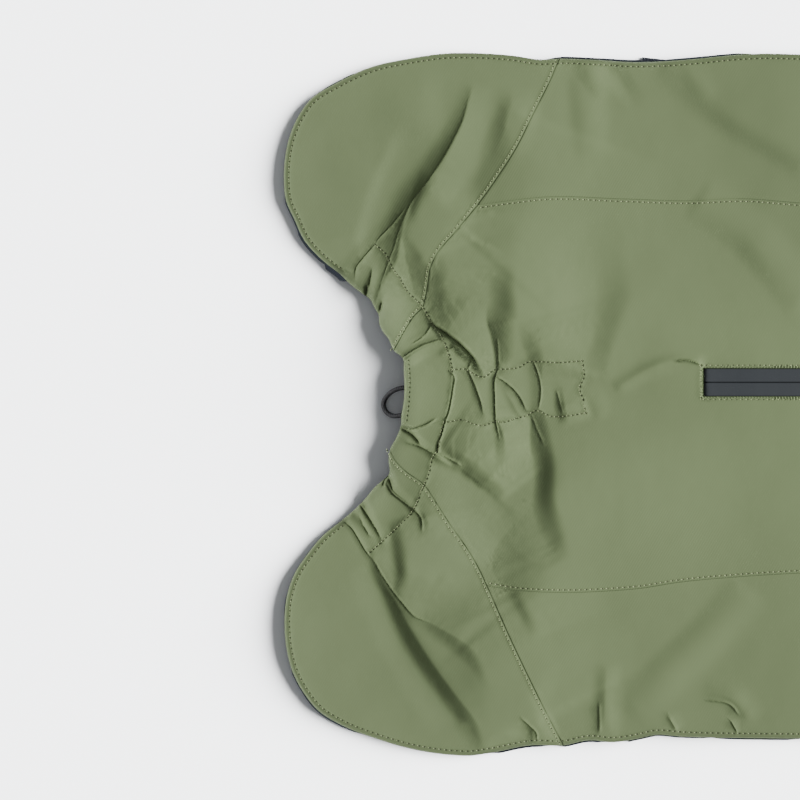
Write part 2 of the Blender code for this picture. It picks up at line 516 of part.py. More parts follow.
def cloth_wall(name, corners, faces, top, bottom, finish):
    """One closed wall of cloth between an upper and a lower height at each corner."""
    build = bmesh.new()
    upper = [build.verts.new(place) for place in on_floor(corners, top)]
    lower = [build.verts.new(place) for place in on_floor(corners, bottom)]
    uses = {}
    for face in faces:
        build.faces.new([upper[i] for i in face])
        build.faces.new([lower[i] for i in reversed(face)])
        for a, b in zip(face, face[1:] + face[:1]):
            uses[(a, b)] = True
    for a, b in uses:
        if (b, a) not in uses:
            build.faces.new((upper[b], upper[a], lower[a], lower[b]))
    loose = [v for v in build.verts if not v.link_faces]
    bmesh.ops.delete(build, geom=loose, context="VERTS")
    bmesh.ops.recalc_face_normals(build, faces=build.faces)
    mesh = bpy.data.meshes.new(name)
    build.to_mesh(mesh)
    build.free()
    mesh.shade_smooth()
    mesh.set_sharp_from_angle(angle=math.radians(50))
    return add_object(name, mesh, finish)


# The shell's panels, each inside its own seams
TOP_CORNER, BOTTOM_CORNER = OUTER_EDGE[0], OUTER_EDGE[-1]
HEM_RIGHT, HEM_LEFT = SHOULDER_SEAM_RIGHT[0], SHOULDER_SEAM_LEFT[0]
CROSS_RIGHT, CROSS_LEFT = LENGTH_SEAM_RIGHT[0], LENGTH_SEAM_LEFT[0]
NECK_RIGHT, NECK_LEFT = SHOULDER_SEAM_RIGHT[-1], SHOULDER_SEAM_LEFT[-1]
TAIL_RIGHT, TAIL_LEFT = LENGTH_SEAM_RIGHT[-1], LENGTH_SEAM_LEFT[-1]
BAND_RIGHT, BAND_LEFT = BAND_JOIN[0], BAND_JOIN[-1]

panels = {
    "chest_panel_right": loop_of(
        stretch(neck_edge, TOP_CORNER, NECK_RIGHT),
        stretch(shoulder_right, NECK_RIGHT, HEM_RIGHT),
        stretch(outer_edge, HEM_RIGHT, TOP_CORNER)),
    "chest_panel_left": loop_of(
        stretch(neck_edge, BOTTOM_CORNER, NECK_LEFT),
        stretch(shoulder_left, NECK_LEFT, HEM_LEFT),
        stretch(outer_edge, HEM_LEFT, BOTTOM_CORNER)),
    "side_panel_right": loop_of(
        stretch(shoulder_right, HEM_RIGHT, CROSS_RIGHT),
        length_right,
        stretch(outer_edge, TAIL_RIGHT, HEM_RIGHT)),
    "side_panel_left": loop_of(
        stretch(shoulder_left, HEM_LEFT, CROSS_LEFT),
        length_left,
        stretch(outer_edge, TAIL_LEFT, HEM_LEFT)),
    "back_panel": loop_of(
        stretch(shoulder_right, NECK_RIGHT, CROSS_RIGHT),
        length_right,
        stretch(outer_edge, TAIL_RIGHT, TAIL_LEFT),
        length_left[::-1],
        stretch(shoulder_left, CROSS_LEFT, NECK_LEFT),
        stretch(neck_edge, NECK_LEFT, BAND_LEFT),
        band_join[::-1],
        stretch(neck_edge, BAND_RIGHT, NECK_RIGHT)),
    "neck_band": loop_of(band_join, stretch(neck_edge, BAND_LEFT, BAND_RIGHT)),
}
crests = np.vstack([smooth(row[1]) for row in FOLDS])


def box_outline(x0, x1, y0, y1, step):
    """A rectangle with its long sides divided."""
    along = np.linspace(x0, x1, max(2, round((x1 - x0) / step) + 1))
    return np.vstack((np.column_stack((along, np.full(len(along), y0))),
                      np.column_stack((along[::-1], np.full(len(along), y1)))))


PORT_STEP, TAPE_STEP = 8.0, 6.0
port = box_outline(PORT_START, PORT_END, PORT_TOP, PORT_BOTTOM, PORT_STEP)
for name, outline in panels.items():
    seamed = inset(outline, np.full(len(outline), SEAM_GAP / 2))
    corners, faces = filled(seamed, [port] if name == "back_panel" else [], crests)
    height = shell_top(corners)
    cloth_wall(name, corners, faces, height, height - SHELL_WALL, shell_cloth)

# The lining: one piece, set back from the shell's edge but for the places where it peeks out
whole = loop_of(outer_edge, neck_edge[::-1])
amounts = np.full(len(whole), LINING_SET_BACK)
for _, x, y, half_length, shows in LINING_PEEKS:
    away = np.linalg.norm(whole - (x, y), axis=1)
    full = np.clip(3 * (1 - away / half_length), 0, 1)
    amounts = np.minimum(amounts, LINING_SET_BACK - (LINING_SET_BACK + shows) * full)
at_cord = np.linalg.norm(whole - CORD_OUTLET, axis=1)
amounts += (CORD_SET_BACK - LINING_SET_BACK) * np.clip(2 - at_cord / CORD_OUTLET_REACH, 0, 1)
lining_edge = inset(whole, amounts)
LINING_RINGS = (
    # inner radius, outer radius, spacing
    (0.0, 66.0, 6.5),
    (66.0, 120.0, 10.0),
    (120.0, 500.0, 17.0),
)
# Where the shell folds deeper than it stands off the floor, the lining stays below it: its height
# at a corner looks at the shell this far round
LINING_LOOKS, LINING_LOOKS_ROUND = (0.0, 3.0, 6.0, 9.0), 10
RAMP_LINE_INSET, RAMP_LINE_POINTS = 6.0, 30
belt_lines = np.vstack([
    np.linspace(belt_ends[0] + (side, RAMP_LINE_INSET), belt_ends[1] + (side, -RAMP_LINE_INSET), RAMP_LINE_POINTS)
    for side in (-BELT_RAMP_END, -BELT_RAMP_START, 0.0, BELT_RAMP_START, BELT_RAMP_END)])
corners, faces = filled(lining_edge, (), belt_lines, LINING_RINGS)
low = np.maximum(raised(corners), belt_lift(corners))
for away in LINING_LOOKS:
    for turn in np.linspace(0, 2 * math.pi, LINING_LOOKS_ROUND, endpoint=False):
        beside = shell_top(corners + away * np.array((math.cos(turn), math.sin(turn))))
        low = np.minimum(low, beside - SHELL_WALL - LAYER_GAP - LINING_WALL)
low = np.maximum(low, belt_lift(corners))
cloth_wall("lining", corners, faces, low + LINING_WALL, low, lining_cloth)

# The belt: one strap of webbing beneath the lining, from hem to hem
cloth_wall("belly_belt", BELT_CORNERS, [(0, 1, 2), (0, 2, 3)], np.full(4, BELT_WALL), np.zeros(4), webbing)

# The zip: two tapes side by side in the port, just below the shell's outer side
PORT_MIDDLE = (PORT_TOP + PORT_BOTTOM) / 2
tapes = (
    ("zip_tape_right", PORT_TOP + SEAM_GAP, PORT_MIDDLE - SEAM_GAP / 2),
    ("zip_tape_left", PORT_MIDDLE + SEAM_GAP / 2, PORT_BOTTOM - SEAM_GAP),
)
for name, y0, y1 in tapes:
    outline = box_outline(PORT_START + SEAM_GAP, PORT_END - SEAM_GAP, y0, y1, TAPE_STEP)
    count = len(outline) // 2
    faces = []
    for i in range(count - 1):
        faces.append((i, i + 1, 2 * count - 2 - i))
        faces.append((i, 2 * count - 2 - i, 2 * count - 1 - i))
    height = shell_top(outline) - TAPE_DROP
    cloth_wall(name, outline, faces, height, height - TAPE_WALL, tape_cloth)

# The slider, parked at the port's tail end, with a bridge that the pull tab hangs on
SLIDER_X = 426.0
SLIDER_LENGTH, SLIDER_WIDTH, SLIDER_HEIGHT = 9.0, 6.0, 1.6
BRIDGE_LENGTH, BRIDGE_WIDTH, BRIDGE_HEIGHT, BRIDGE_BAR = 6.6, 1.4, 3.2, 0.8
BRIDGE_ROOT = 0.5
tape_top = float(shell_top(np.array(((SLIDER_X, PORT_MIDDLE),)))[0]) - TAPE_DROP
slider_floor = tape_top + SEAM_GAP


def extruded(name, outline, y_middle, width, finish, hide=False):
    """A side view in sheet x and height, made solid to both sides of a middle line."""
    build = bmesh.new()
    near, far = y_middle - width / 2, y_middle + width / 2
    rings = [[build.verts.new(on_floor([(x, y)], [z])[0]) for x, z in outline] for y in (near, far)]
    build.faces.new(rings[0])
    build.faces.new(rings[1][::-1])
    for i in range(len(outline)):
        j = (i + 1) % len(outline)
        build.faces.new((rings[0][i], rings[1][i], rings[1][j], rings[0][j]))
    bmesh.ops.recalc_face_normals(build, faces=build.faces)
    mesh = bpy.data.meshes.new(name)
    build.to_mesh(mesh)
    build.free()
    piece = add_object(name, mesh, finish)
    if hide:
        piece.hide_render = True
        piece.display_type = "WIRE"
    return piece


def rectangle(x0, x1, z0, z1):
    return ((x0, z0), (x1, z0), (x1, z1), (x0, z1))


def boolean(piece, tool, operation):
    cut = piece.modifiers.new(operation.title(), "BOOLEAN")
    cut.operation = operation
    cut.object = tool


base_top = slider_floor + SLIDER_HEIGHT
half = BRIDGE_LENGTH / 2
slider = extruded("zip_slider", rectangle(SLIDER_X - SLIDER_LENGTH / 2, SLIDER_X + SLIDER_LENGTH / 2,
                                          slider_floor, base_top), PORT_MIDDLE, SLIDER_WIDTH, slider_paint)
bridge_foot = base_top - BRIDGE_ROOT
bridge_top = base_top + BRIDGE_HEIGHT
bridge_outline = (
    (SLIDER_X - half, bridge_foot), (SLIDER_X - half + BRIDGE_BAR, bridge_foot),
    (SLIDER_X - half + BRIDGE_BAR, bridge_top - BRIDGE_BAR),
    (SLIDER_X + half - BRIDGE_BAR, bridge_top - BRIDGE_BAR),
    (SLIDER_X + half - BRIDGE_BAR, bridge_foot), (SLIDER_X + half, bridge_foot),
    (SLIDER_X + half, bridge_top), (SLIDER_X - half, bridge_top))
bridge = extruded("bridge", bridge_outline, PORT_MIDDLE, BRIDGE_WIDTH, slider_paint, hide=True)
boolean(slider, bridge, "UNION")

# The pull tab: a flat tab whose end bar passes under the bridge, lying down towards the neck
TAB_LENGTH, TAB_WIDTH, TAB_WALL, TAB_SLOPE = 22.0, 5.0, 1.1, 2.0
EYE_LENGTH, EYE_WIDTH, EYE_BAR, EYE_DEPTH = 4.4, 2.4, 1.0, 4.0
HINGE_OVER_BASE = 1.3
hinge_height = base_top + HINGE_OVER_BASE
tab_near, tab_far = SLIDER_X + EYE_BAR / 2, SLIDER_X - TAB_LENGTH
tab = extruded("zip_pull", (
    (tab_far, hinge_height - TAB_SLOPE - TAB_WALL / 2), (tab_near, hinge_height - TAB_WALL / 2),
    (tab_near, hinge_height + TAB_WALL / 2), (tab_far, hinge_height - TAB_SLOPE + TAB_WALL / 2)),
    PORT_MIDDLE, TAB_WIDTH, slider_paint)
eye_end = SLIDER_X - EYE_BAR / 2
eye = extruded("eye", rectangle(eye_end - EYE_LENGTH, eye_end, hinge_height - EYE_DEPTH / 2,
                                hinge_height + EYE_DEPTH / 2), PORT_MIDDLE, EYE_WIDTH, slider_paint, hide=True)
boolean(tab, eye, "DIFFERENCE")

# The neck cord: a loop that comes out from under the band and hangs to the floor
CORD_ROUTE = (
    # x, y, height of its middle
    (204.9, 194.0, 6.7), (202.5, 193.9, 6.6), (199.5, 194.3, 6.0), (196.4, 195.6, 4.5),
    (193.9, 197.6, 2.8), (192.3, 199.9, 1.7), (191.7, 202.4, 1.3), (192.4, 205.0, 1.7),
    (194.3, 207.0, 2.8), (197.0, 208.0, 4.5), (199.9, 207.8, 6.0), (202.6, 207.2, 6.6),
    (204.9, 207.0, 6.7),
)
CORD_STEP = 3.0
route = smooth(CORD_ROUTE, CORD_STEP)
spline_data = bpy.data.curves.new("neck_cord", "CURVE")
spline_data.dimensions = "3D"
spline_data.bevel_depth = CORD_DIAMETER / 2 * MM
spline_data.bevel_resolution = 2
spline_data.use_fill_caps = True
spline = spline_data.splines.new("POLY")
spline.points.add(len(route) - 1)
for spot, (x, y, z) in zip(spline.points, route):
    spot.co = (*on_floor([(x, y)], [z])[0], 1.0)
add_object("neck_cord", spline_data, cord_cloth)
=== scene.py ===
"""The looks of a dog's winter coat, laid flat with its back up and its neck to the left.

Tables are in millimetres on the pattern sheet that the coat is drawn on: x to the right, y down,
from the sheet's top left corner. Heights are above the floor.
"""

import math

import bmesh
import bpy
import numpy as np
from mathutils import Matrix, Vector, kdtree, noise
from mathutils.geometry import delaunay_2d_cdt


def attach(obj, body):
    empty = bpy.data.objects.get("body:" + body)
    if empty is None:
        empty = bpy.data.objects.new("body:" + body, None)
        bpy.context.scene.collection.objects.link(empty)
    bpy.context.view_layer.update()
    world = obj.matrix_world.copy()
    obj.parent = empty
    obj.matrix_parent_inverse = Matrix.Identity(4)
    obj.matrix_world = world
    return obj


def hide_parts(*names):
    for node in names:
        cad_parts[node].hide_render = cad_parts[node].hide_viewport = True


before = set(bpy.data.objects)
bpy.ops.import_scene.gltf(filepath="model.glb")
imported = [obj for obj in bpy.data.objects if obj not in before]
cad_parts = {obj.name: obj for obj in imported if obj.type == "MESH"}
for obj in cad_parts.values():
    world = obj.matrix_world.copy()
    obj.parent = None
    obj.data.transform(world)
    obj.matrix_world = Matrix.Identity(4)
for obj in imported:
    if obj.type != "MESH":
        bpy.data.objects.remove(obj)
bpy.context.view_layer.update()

# Camera: straight above, over the neck half of the coat. A long lens keeps the edges upright.
MM = 0.001
SHEET_CENTRE = (346.8, 201.85)
VIEW_CENTRE = (200.0, 200.0)
VIEW_WIDTH = 400.0
CAMERA_HEIGHT = 2000.0
COAT_MIDDLE_HEIGHT = 6.0
SENSOR_WIDTH = 36.0


def in_room(x, y, z=0.0):
    """A place on the sheet and a height, in millimetres, as a place in the room in metres."""
    return Vector(((x - SHEET_CENTRE[0]) * MM, (SHEET_CENTRE[1] - y) * MM, z * MM))


def placed(name, data):
    """A new object in the scene with the data given."""
    thing = bpy.data.objects.new(name, data)
    bpy.context.scene.collection.objects.link(thing)
    return thing


camera = placed("camera", bpy.data.cameras.new("camera"))
camera.location = in_room(*VIEW_CENTRE, CAMERA_HEIGHT + COAT_MIDDLE_HEIGHT)
camera.data.sensor_width = SENSOR_WIDTH
camera.data.lens = SENSOR_WIDTH * CAMERA_HEIGHT / VIEW_WIDTH
camera.data.clip_end = 20.0
bpy.context.scene.camera = camera

# Floor and light: a pale floor and an even sky. One broad lamp lights the coat from the neck's
# side, and another lights the floor alone from the tail's side.
FLOOR_COLOUR = (0.86, 0.875, 0.885)
LAMPS = (
    # name, where it stands from the coat, how wide it looks in degrees, strength, floor only
    ("key lamp", (-4.4, 0.1, 3.2), 30.0, 6.1, False),
    ("floor lamp", (4.0, 0.35, 1.6), 55.0, 43.0, True),
)
SKY_COLOUR, SKY_STRENGTH = (0.95, 0.97, 1.0), 0.3


def plain_material(name, colour, roughness):
    """A material of one colour."""
    finish = bpy.data.materials.new(name)
    finish.use_nodes = True
    shader = finish.node_tree.nodes["Principled BSDF"]
    shader.inputs["Base Color"].default_value = (*colour, 1.0)
    shader.inputs["Roughness"].default_value = roughness
    return finish


FLOOR_HALF, FLOOR_HEIGHT = 3.0, -0.0002
floor_mesh = bpy.data.meshes.new("floor")
floor_mesh.from_pydata([(x * FLOOR_HALF, y * FLOOR_HALF, FLOOR_HEIGHT)
                        for x, y in ((-1, -1), (1, -1), (1, 1), (-1, 1))], [], [(0, 1, 2, 3)])
floor = placed("floor", floor_mesh)
floor.data.materials.append(plain_material("studio floor", FLOOR_COLOUR, 0.9))

floor_group = bpy.data.collections.new("floor group")
floor_group.objects.link(floor)
no_floor_group = bpy.data.collections.new("all but the floor")
no_floor_group.objects.link(floor)
no_floor_group.collection_objects[0].light_linking.link_state = "EXCLUDE"
for name, place, width, strength, floor_only in LAMPS:
    lamp = placed(name, bpy.data.lights.new(name, "SUN"))
    lamp.location = place
    lamp.rotation_euler = Vector(place).to_track_quat("Z", "Y").to_euler()
    lamp.data.angle = math.radians(width)
    lamp.data.energy = strength
    lamp.light_linking.receiver_collection = floor_group if floor_only else no_floor_group

sky = bpy.data.worlds.new("sky")
sky.use_nodes = True
sky.node_tree.nodes["Background"].inputs["Color"].default_value = (*SKY_COLOUR, 1.0)
sky.node_tree.nodes["Background"].inputs["Strength"].default_value = SKY_STRENGTH
bpy.context.scene.world = sky

# Neck cord: round elastic cord with a braided cover, 2.4 mm thick. Both its ends go up under the
# neck band, and the loop between them hangs to the floor.
CORD_DIAMETER = 2.4
CORD_STEP = 0.8
CORD_ROUTE = (
    # x, y, height of its middle
    (204.9, 194.0, 6.7), (202.5, 193.9, 6.6), (199.5, 194.3, 6.0), (196.4, 195.6, 4.5),
    (193.9, 197.6, 2.8), (192.3, 199.9, 1.7), (191.7, 202.4, 1.3), (192.4, 205.0, 1.7),
    (194.3, 207.0, 2.8), (197.0, 208.0, 4.5), (199.9, 207.8, 6.0), (202.6, 207.2, 6.6),
    (204.9, 207.0, 6.7),
)


def smooth(rows, step):
    """A curve through all the rows, sampled at about one step."""
    point = np.array(rows, float)
    leg = np.diff(point, axis=0)
    chord = np.linalg.norm(leg, axis=1)
    slope = leg / chord[:, None]
    tangent = np.vstack((slope[:1], slope))
    share = (chord[:-1] / (chord[:-1] + chord[1:]))[:, None]
    tangent[1:-1] = slope[:-1] * (1 - share) + slope[1:] * share
    samples = []
    for i, length in enumerate(chord):
        count = max(1, round(length / step))
        for t in np.arange(count) / count:
            place = point[i] * (2 * t**3 - 3 * t**2 + 1) + point[i + 1] * (3 * t**2 - 2 * t**3)
            bend = tangent[i] * length * (t**3 - 2 * t**2 + t)
            samples.append(place + bend + tangent[i + 1] * length * (t**3 - t**2))
    samples.append(point[-1])
    return np.array(samples)


def own_nodes(name, roughness, metallic=0.0):
    """A new material with its node tree, shader and the piece's own coordinates."""
    finish = bpy.data.materials.new(name)
    finish.use_nodes = True
    nodes = finish.node_tree.nodes
    shader = nodes["Principled BSDF"]
    shader.inputs["Roughness"].default_value = roughness
    shader.inputs["Metallic"].default_value = metallic
    place = nodes.new("ShaderNodeTexCoord")
    return finish, finish.node_tree, shader, place.outputs["Object"]


def linked(tree, kind, inputs=(), **settings):
    """A new node in a tree, with its settings, and its inputs set to a value or linked."""
    node = tree.nodes.new(kind)
    for key, value in settings.items():
        setattr(node, key, value)
    for key, value in dict(inputs).items():
        if isinstance(value, bpy.types.NodeSocket):
            tree.links.new(value, node.inputs[key])
        else:
            node.inputs[key].default_value = value
    return node


def maths(tree, operation, *values):
    """The result of a new arithmetic node, its inputs set to the values or linked."""
    return linked(tree, "ShaderNodeMath", dict(enumerate(values)), operation=operation).outputs[0]


def add_group(name, inputs, outputs):
    """An empty shader node group with named inputs and outputs."""
    group = bpy.data.node_groups.new(name, "ShaderNodeTree")
    for label, kind, value in inputs:
        socket = group.interface.new_socket(label, in_out="INPUT", socket_type=kind)
        if value is not None:
            socket.default_value = value
    for label, kind in outputs:
        group.interface.new_socket(label, in_out="OUTPUT", socket_type=kind)
    return group, group.nodes.new("NodeGroupInput").outputs, group.nodes.new("NodeGroupOutput").inputs


# The weave that every cloth here shares: fine slanting ribs, each a little uneven, over a mottle
weave, given, result = add_group(
    "Slanting weave",
    (("Place", "NodeSocketVector", None), ("Rib direction", "NodeSocketVector", (0.6, 0.8, 0.0)),
     ("Rib pitch", "NodeSocketFloat", 0.0011), ("Rib contrast", "NodeSocketFloat", 0.05),
     ("Mottle size", "NodeSocketFloat", 0.004), ("Mottle contrast", "NodeSocketFloat", 0.05)),
    (("Tone", "NodeSocketFloat"), ("Relief", "NodeSocketFloat")))
across = linked(weave, "ShaderNodeVectorMath", {0: given["Place"], 1: given["Rib direction"]},
                operation="DOT_PRODUCT")
turns = maths(weave, "DIVIDE", across.outputs["Value"], given["Rib pitch"])
mottle = linked(weave, "ShaderNodeTexNoise", {
    "Vector": given["Place"], "Scale": maths(weave, "DIVIDE", 1.0, given["Mottle size"]),
    "Detail": 4.0, "Roughness": 0.65})
grain = linked(weave, "ShaderNodeTexNoise", {
    "Vector": given["Place"], "Scale": maths(weave, "DIVIDE", 1.6, given["Rib pitch"]), "Detail": 2.0})
wobble = maths(weave, "MULTIPLY_ADD", grain.outputs["Fac"], 0.5, turns)
rib = maths(weave, "SINE", maths(weave, "MULTIPLY", wobble, math.tau))
rib_tone = maths(weave, "MULTIPLY_ADD", rib, given["Rib contrast"], 1.0)
mottle_even = maths(weave, "SUBTRACT", mottle.outputs["Fac"], 0.5)
tone = maths(weave, "MULTIPLY_ADD", mottle_even, given["Mottle contrast"], rib_tone)
relief = maths(weave, "MULTIPLY_ADD", grain.outputs["Fac"], 0.8, rib)
weave.links.new(tone, result["Tone"])
weave.links.new(relief, result["Relief"])


def woven(name, colour, roughness, pitch, depth, rib=0.05, mottle_size=0.004, mottle_contrast=0.06,
          direction=(0.6, 0.8, 0.0), sheen=0.0):
    """A cloth's material: its colour toned by the weave, and the weave's relief in its normals."""
    finish, tree, shader, place = own_nodes(name, roughness)
    shader.inputs["Specular IOR Level"].default_value = 0.25
    shader.inputs["Sheen Weight"].default_value = sheen
    shader.inputs["Sheen Roughness"].default_value = 0.5
    cloth = linked(tree, "ShaderNodeGroup", node_tree=weave, inputs={
        "Place": place, "Rib direction": direction, "Rib pitch": pitch, "Rib contrast": rib,
        "Mottle size": mottle_size, "Mottle contrast": mottle_contrast})
    toned = linked(tree, "ShaderNodeVectorMath", operation="SCALE",
                   inputs={0: colour, "Scale": cloth.outputs["Tone"]})
    tree.links.new(toned.outputs[0], shader.inputs["Base Color"])
    bump = linked(tree, "ShaderNodeBump", inputs={"Height": cloth.outputs["Relief"], "Distance": depth,
                                                  "Strength": 0.6})
    tree.links.new(bump.outputs["Normal"], shader.inputs["Normal"])
    return finish


cord_cover = woven("Braided cord cover", (0.007, 0.007, 0.008), 0.6, 0.0009, 0.00012, rib=0.3,
                   direction=(0.9, 0.3, 0.3), sheen=0.03)
cord_line = bpy.data.curves.new("neck_cord_loop", "CURVE")
cord_line.dimensions = "3D"
cord_line.bevel_depth = CORD_DIAMETER / 2 * MM
cord_line.bevel_resolution = 5
cord_line.use_fill_caps = True
cord_spline = cord_line.splines.new("POLY")
cord_way = smooth(CORD_ROUTE, CORD_STEP)
cord_spline.points.add(len(cord_way) - 1)
for spot, (x, y, z) in zip(cord_spline.points, cord_way):
    spot.co = (*in_room(x, y, z), 1.0)
cord_piece = placed("neck_cord_loop", cord_line)
cord_piece.data.materials.append(cord_cover)
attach(cord_piece, "coat")
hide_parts("neck_cord")

# The cut: the outer edge runs from the notch round the right lobe, along the hem, round the tail
# and back. The neck edge is gathered, and the seams divide the shell into its panels.
OUTER_EDGE = (
    # x, y
    (170, 137), (160, 129), (152, 120), (147, 109.3), (143.2, 101), (141.9, 90), (142.3, 80.5), (144.5, 69),
    (148.3, 59.5), (154.7, 50), (168.7, 41), (186.5, 33), (203.8, 29.2), (222.9, 26.5), (240, 26.4),
    (257.4, 27.7), (270.5, 29.6), (279.8, 29.2), (297, 29.8), (316.5, 31), (338, 30.2), (350, 29.2),
    (367.5, 27.4), (383, 26.7), (400, 27), (430, 28), (465, 34), (500, 51), (528, 83), (543, 118),
    (550.2, 160), (551.7, 202), (550.2, 243), (543, 285), (528, 319), (500, 349), (465, 365), (430, 369.5),
    (400, 369.5), (362.5, 369), (340, 368.3), (328, 367.5), (318.5, 369.5), (306, 371.2), (294.8, 370.2),
    (282, 372.8), (266, 372.8), (245.3, 376.7), (235, 378.1), (226.8, 377.8), (203.9, 374.2),
    (188.5, 369.6), (169.5, 362), (159.5, 355.7), (151.9, 346.5), (146.5, 336.5), (143.4, 325),
    (142.3, 313.5), (143.4, 298.3), (147.3, 286.8), (153.4, 277.5), (160.3, 269), (171, 260),
)
NECK_EDGE = (
    # x, y
    (170, 137), (175, 142), (182, 147.5), (185, 149.5), (187, 153.5), (189.5, 158), (189.5, 161),
    (191.5, 166), (194, 169), (197, 175.5), (201.3, 179), (201.9, 185.3), (202.2, 193), (201.9, 200.5),
    (200.7, 208.3), (200.5, 212.6), (197.6, 219.8), (195, 224.5), (194.3, 230), (194.5, 237), (192, 239.5),
    (187.9, 243), (182, 250), (177, 255), (171, 260),
)
SHOULDER_SEAM_RIGHT = (
    # x, y
    (279.8, 29.2), (275.7, 39.4), (267.5, 55.7), (258.3, 74), (251.2, 85.3), (239, 102.5), (228, 115.8),
    (218.2, 127.8), (215.5, 133.6), (214.2, 141.3), (212.8, 149.3), (211.5, 153.8), (207.5, 158),
    (204, 163), (197, 175.5),
)
SHOULDER_SEAM_LEFT = (
    # x, y
    (282, 372.8), (274, 357.7), (264.5, 338.5), (253.3, 314.7), (243.5, 292.5), (238.9, 282.8),
    (232.3, 272), (225, 261.8), (218.5, 251.5), (211.9, 242), (202.5, 235), (197, 229), (195, 224.5),
)
LENGTH_SEAM_RIGHT = (
    # x, y
    (239, 102.5), (253.3, 100.5), (270.5, 98.5), (311.5, 99.5), (342, 100.5), (372.5, 99.5), (400, 101.5),
    (450, 104), (500, 110), (543, 118),
)
LENGTH_SEAM_LEFT = (
    # x, y
    (243.5, 292.5), (254.9, 294.7), (282.8, 296.3), (302.7, 295.5), (318.7, 294.3), (340, 291),
    (369.5, 288.3), (400, 286.5), (450, 285), (500, 284.5), (543, 285),
)
BAND_JOIN = (
    # x, y
    (201.3, 179), (208.5, 173.5), (214.5, 171), (220.5, 170), (223.5, 176.5), (225, 186), (225.5, 193),
    (224.5, 201.5), (222, 209), (215, 212.3), (208.5, 214.2), (200.5, 212.6),
)
CASING_LINE = (
    # x, y: where the neck casing is stitched down, from its right end to its left one
    (187.5, 122.5), (192.5, 127), (195.5, 133), (199.5, 139), (204, 146.5), (210.5, 153), (216.4, 162.7),
    (220.5, 168.5), (223.6, 176), (225.8, 187.7), (224.9, 195.7), (222.2, 209.1), (220, 217),
    (218.7, 225.2), (216.4, 228), (214.4, 236), (210.4, 245.6), (206.8, 254.4), (198, 264), (190.8, 270.8),
    (184.8, 276),
)
CASING_END_RIGHT = ((177, 143), (177.6, 139.2), (178.2, 134), (181.6, 129), (187.5, 122.5))
CASING_END_LEFT = ((184.8, 276), (181.2, 271.5), (178.8, 268.5), (176, 264.4), (172.5, 259))
LINE_STEP = 0.6

outer_edge = smooth(OUTER_EDGE, LINE_STEP)
neck_edge = smooth(NECK_EDGE, LINE_STEP)
shoulder_right = smooth(SHOULDER_SEAM_RIGHT, LINE_STEP)
shoulder_left = smooth(SHOULDER_SEAM_LEFT, LINE_STEP)
length_right = smooth(LENGTH_SEAM_RIGHT, LINE_STEP)
length_left = smooth(LENGTH_SEAM_LEFT, LINE_STEP)
band_join = smooth(BAND_JOIN, LINE_STEP)
casing_line = smooth(CASING_LINE, LINE_STEP)
casing_ends = (smooth(CASING_END_RIGHT, LINE_STEP), smooth(CASING_END_LEFT, LINE_STEP))


def stretch(curve, start, end):
    """The part of a curve from one place on it to another, either way along it."""
    first = int(np.argmin(np.linalg.norm(curve - start, axis=1)))
    last = int(np.argmin(np.linalg.norm(curve - end, axis=1)))
    return curve[first:last + 1] if first <= last else curve[last:first + 1][::-1]


def loop_of(*stretches):
    """One closed outline from stretches that meet end to end."""
    return np.vstack([part[:-1] for part in stretches])


MITRE_LIMIT = 2.5


def inset(outline, amount):
    """An outline moved inwards; an amount under 0 moves it out."""
    before = outline - np.roll(outline, 1, axis=0)
    after = np.roll(outline, -1, axis=0) - outline
    before /= np.linalg.norm(before, axis=1)[:, None]
    after /= np.linalg.norm(after, axis=1)[:, None]
    x, y = outline.T
    turning = np.sign(np.sum(x * np.roll(y, -1) - np.roll(x, -1) * y))
    inward = turning * (np.column_stack((-before[:, 1], before[:, 0]))
                        + np.column_stack((-after[:, 1], after[:, 0])))
    size = np.linalg.norm(inward, axis=1)
    far = np.minimum(2 / size, MITRE_LIMIT) * amount
    return outline + inward / size[:, None] * far[:, None]


def beside_line(line, amount):
    """A line moved to the left of its way, as drawn on the sheet, or to the right if under 0."""
    tangent = np.gradient(line, axis=0)
    tangent /= np.linalg.norm(tangent, axis=1)[:, None]
    return line + np.column_stack((tangent[:, 1], -tangent[:, 0])) * amount


POINTS_AT_ONCE = 3000


def inside(points, outline):
    """True for each point that lies inside a closed outline."""
    result = np.zeros(len(points), bool)
    x0, y0 = outline.T
    x1, y1 = np.roll(outline, -1, axis=0).T
    rise = np.where(y1 == y0, 1.0, y1 - y0)
    for first in range(0, len(points), POINTS_AT_ONCE):
        some = slice(first, first + POINTS_AT_ONCE)
        x, y = points[some, 0, None], points[some, 1, None]
        crossed = ((y0 > y) != (y1 > y)) & (x < (x1 - x0) * (y - y0) / rise + x0)
        result[some] = crossed.sum(axis=1) % 2 == 1
    return result


